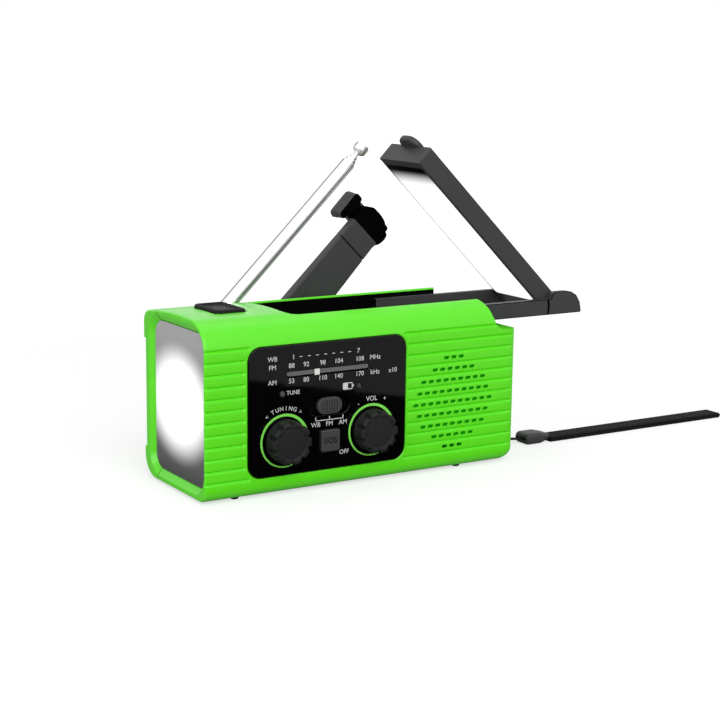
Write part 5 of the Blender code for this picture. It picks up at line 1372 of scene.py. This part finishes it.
# %% Make the crank
CRANK = stood(CRANK_AXIS, 31, -45.5)
GRIP_PIN = (96.5, 7)
GRIP = CRANK @ Matrix.Translation((*GRIP_PIN, 0))
LEVER_END = 91.5
lever = plate([arc(0, 0, 11, 78, 282, 30) + [(LEVER_END, -8.5), (LEVER_END, 8.5)]], "Y", 0, 5, 0.7, 3)
toe = [(88, 4.6), (88, 0.5), (101.7, 0.5), (103.2, 2.0), (103.2, 5.0)]
knuckle = carve(
    plate([toe + arc(*GRIP_PIN, 4.4, 0, 180, 20) + [(92.1, 4.6)]], "Z", -7.78, 7.78, 0.6, 3),
    plate([rounded(80, 103.2, -7.78, 7.78, 6.4, 10)], "Y", -2, 14),
    operation="INTERSECT",
)
lever = carve(lever, knuckle, operation="UNION")
ARROWS = (46.0, 0.0)
turning = []
for start, end in ((35, 150), (215, 330)):
    tail = arc(*ARROWS, 5.2, start, end, 16) + arc(*ARROWS, 4.2, end, start, 16)
    head = [around(*ARROWS, r, math.radians(end) + t) for r, t in ((6.6, 0), (4.7, 0.55), (2.8, 0))]
    turning += [plate([outline], "Y", -1, 0.35) for outline in (tail, head)]
seam = rounded(80.3, 81.4, -20, 20, 0.2, 2)
lever = carve(
    lever,
    *[plate([seam], "Y", start, end) for start, end in ((-5, 1.0), (4.2, 10))],
    rod(1.5, -30, 30, "Z", *GRIP_PIN),
    rod(1.6, -10, 20, "Y", 0, 0),
    *turning,
)
# Painted shade: the knuckle past the lever's end takes the near-black of shade.
lever = painted(lever, lambda at, normal: at.x > LEVER_END - 0.05)
piece("crank_lever", lever, [BLACK, SHADE_BLACK], "crank", ["crank_arm"], CRANK)
print("crank ready")

# %% Make the grip
# Painted shade: the grip is cut across at this y, and the part on its lower side takes the near-black of
# shade.
GRIP_SHADE = 1.2
half = [(12.4, 3.0), (13.4, 6.8)] + arc(8.4, 7.5, 5, 0, 90, 14)
fork = [(-12.4, 0), (-8.2, 0), (-8.2, 4.8), (8.2, 4.8), (8.2, 0), (12.4, 0)]
outline = fork + half + [(-c, h) for c, h in reversed(half)]
handle = plate([[(h, c) for c, h in outline]], "X", -6.5, 7.5, 1.8, 5)
ears = [plate([disc(0, 0, 4.2)], "Z", low, high, 0.4, 2) for low, high in ((-12.38, -8.22), (8.22, 12.38))]
handle = carve(handle, *ears, operation="UNION")
handle = carve(handle, rod(1.5, -30, 30, "Z", 0, 0), block(-30, -1.7, -30, 30, -9.1, 9.1))
whole = handle.verts[:] + handle.edges[:] + handle.faces[:]
bmesh.ops.bisect_plane(handle, geom=whole, plane_co=(0, GRIP_SHADE, 0), plane_no=(0, 1, 0))
bmesh.ops.dissolve_degenerate(handle, edges=handle.edges, dist=1e-4)
handle = painted(handle, lambda at, normal: at.y < GRIP_SHADE)
piece("crank_handle", handle, [BLACK, SHADE_BLACK], "grip", ["crank_grip"], GRIP)
print("grip ready")

# %% [markdown]
# ## Back, feet and screws
# The back carries the battery door and four sunken cross-head screws, and the
# radio stands on four rubber feet. Screws and feet sit where they are needed and
# not at an even step, so a second tree takes a list of places as its points and
# shares the rest with the row tree.


# %% Build the places tree
def places_tree():
    tree, given, points = repeat_tree("at_places", (("Places", "Geometry"),))
    tree.links.new(given["Places"], points)
    return tree


PLACES_TREE = places_tree()


def at_places(shape, places, finish):
    """A shape put at each of a list of places."""
    points = bmesh.new()
    for place in places:
        points.verts.new(place)
    return repeated(PLACES_TREE, points, shape, Finish=finish)


print("places tree:", len(PLACES_TREE.nodes), "nodes")

# %% Make the feet, the screws and the door
pad = spin([(0, 0), (1.4, 0), (1.7, 0.2), (1.85, 0.55), (1.85, 0.98), (0, 0.98)], "Z", 0, 0, 40)
feet = at_places(pad, [(-62, -23, 0), (52, -23, 0), (-62, 20.2, 0), (52, 20.2, 0)], RUBBER)
piece("rubber_feet", feet, RUBBER, "housing", [n for n in NODES if n.startswith("foot_")])
head = [(0, 26.6), (1.2, 26.55), (2.1, 26.35), (2.55, 25.9), (2.6, 25.5), (2.6, 24.7)]
screw = spin(head + [(1.0, 24.7), (1.0, 8.0), (0, 7.2)], "Y", 0, 0, 32)
cross = together(block(-1.5, 1.5, 25.6, 30, -0.3, 0.3), block(-0.3, 0.3, 25.6, 30, -1.5, 1.5))
screws = at_places(carve(screw, cross), [(x, 0, z) for x, z in SCREWS], STEEL)
piece("case_screws", screws, STEEL, "housing", [n for n in NODES if n.startswith("housing_screw")])
cover = plate([DOOR(-DOOR_GAP)], "Y", 26.6, 27.6, 0.25, 2)
ridge = plate([rounded(-0.35, 0.35, -6, 6, 0.34, 3)], "Y", 27.5, 28.0, 0.2, 2)
ridges = row_of(ridge, 6, (22.0, 0, 27), (1.6, 0, 0))
piece("battery_cover", together(cover, ridges), GREEN, "housing", ["battery_door"])
print("back ready")

# %% [markdown]
# ## Inside
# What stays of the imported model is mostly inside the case: motor, gears, board,
# battery and speaker. Their shapes are right as they are, so each only gets the
# finish of what it is.

# %% Paint the parts that stay
STAYS = {
    BLACK: ["speaker_frame", "band_switch_base"],
    # Painted shade: the grip's pin takes the near-black of the grip's shaded part.
    SHADE_BLACK: ["grip_pin"],
    DIM_LENS: ["tuning_indicator"],
    BUTTON: ["charge_indicator"],
    CONE: ["speaker_cone"],
    STEEL: ["gear_plate", "crank_shaft", "crank_screw", "antenna_screw", "lamp_hinge_pin", "dynamo_motor"]
    + ["volume_potentiometer", "usb_output_socket", "charging_socket"],
    WHITE: ["crank_gear", "idler_gear", "capacitor_gear", "tuning_capacitor", "torch_led_board"],
    BRASS: ["dynamo_pinion"],
    WIRE: ["ferrite_coil"],
    FERRITE: ["ferrite_rod"],
    BOARD: ["main_board"],
    CELL_WRAP: ["battery_cell"],
}
for finish, names in STAYS.items():
    for name in names:
        mesh = NODES[name].data
        if not mesh.materials:
            mesh.materials.append(finish)
        for slot in NODES[name].material_slots:
            slot.material = finish
print("painted:", sum(len(names) for names in STAYS.values()), "nodes")

# %% [markdown]
# ## Floor and light
# A pale floor and three large soft lights, in front, above and at the left, are
# enough. The floor adds a little light of its own for the camera only, which keeps
# it white while the soft shadow stays. A dark card lies in front, seen only in
# reflections, as a photographer would use to keep the gloss panel black.


# %% Stage the radio
def stage_plane(name, corners, material):
    bm = bmesh.new()
    bm.faces.new([bm.verts.new(ROW @ Vector(c)) for c in corners])
    bmesh.ops.recalc_face_normals(bm, faces=bm.faces)
    made = held(bm, name)
    made.data.materials.append(material)
    return made


def seen_ray(tree):
    """One for rays from the camera, from gloss and through glass."""
    path = node(tree, "LightPath")
    found = math_node(tree, "MAXIMUM", path.outputs["Is Camera Ray"], path.outputs["Is Glossy Ray"])
    return math_node(tree, "MAXIMUM", found, path.outputs["Is Transmission Ray"])


def floor_paint():
    """Pale grey that adds its own light for the camera, more of it away from the radio."""
    made, tree, shader, place = blank("studio_floor")
    preset(shader, Base_Color=(0.45, 0.45, 0.45, 1), Roughness=0.9, Specular_IOR_Level=0.0)
    preset(shader, Emission_Color=(1, 1, 1, 1))
    away = node(tree, "VectorMath", operation="LENGTH")
    rise = preset(node(tree, "MapRange"), From_Min=0.35, From_Max=1.1, To_Min=0.64, To_Max=1.0)
    seen = node(tree, "LightPath").outputs["Is Camera Ray"]
    linked(
        tree,
        (place, away.inputs[0]),
        (away.outputs["Value"], rise.inputs["Value"]),
        (math_node(tree, "MULTIPLY", seen, rise.outputs["Result"]), shader.inputs["Emission Strength"]),
    )
    return made


def card_paint():
    """Near black, which only the gloss of the panel will show."""
    made, _, shader, _ = blank("dark_card")
    preset(shader, Base_Color=(0.004, 0.004, 0.004, 1), Roughness=1.0, Specular_IOR_Level=0.0)
    return made


REACH = 6000
FLOOR = [(-REACH, -REACH, 0), (REACH, -REACH, 0), (REACH, REACH, 0), (-REACH, REACH, 0)]
stage_plane("floor", FLOOR, floor_paint())
CARD = [(-300, -483, 1), (-105, -483, 1), (176, -77, 1), (176, -33, 1), (-300, -33, 1)]
card = stage_plane("dark_card", CARD, card_paint())
card.visible_camera = card.visible_diffuse = card.visible_shadow = False
print("stage ready")


# %% Light it
def soft_light(name, place, aim, size, power):
    data = bpy.data.lights.new(name, "AREA")
    data.shape = "SQUARE"
    data.size = size
    data.energy = power
    lamp = bpy.data.objects.new(name, data)
    bpy.context.scene.collection.objects.link(lamp)
    turn = (Vector(place) - Vector(aim)).to_track_quat("Z", "Y")
    lamp.matrix_world = Matrix.Translation(place) @ turn.to_matrix().to_4x4()


soft_light("front_light", (-0.3, -2.2, 1.5), (0, 0, 0.04), 2.0, 44)
soft_light("top_light", (0.1, 0.2, 2.2), (0, 0, 0), 2.2, 9)
soft_light("left_light", (-2.1, -0.35, 0.35), (0, 0, 0.04), 1.4, 17)
world = bpy.data.worlds.new("studio")
world.use_nodes = True
bpy.context.scene.world = world
sky = world.node_tree.nodes["Background"]
sky.inputs["Color"].default_value = (1, 1, 1, 1)
ambient = math_node(world.node_tree, "MULTIPLY", seen_ray(world.node_tree), 0.62)
world.node_tree.links.new(math_node(world.node_tree, "ADD", ambient, 0.38), sky.inputs["Strength"])
bpy.context.scene.view_settings.view_transform = "Standard"
print("lights ready")
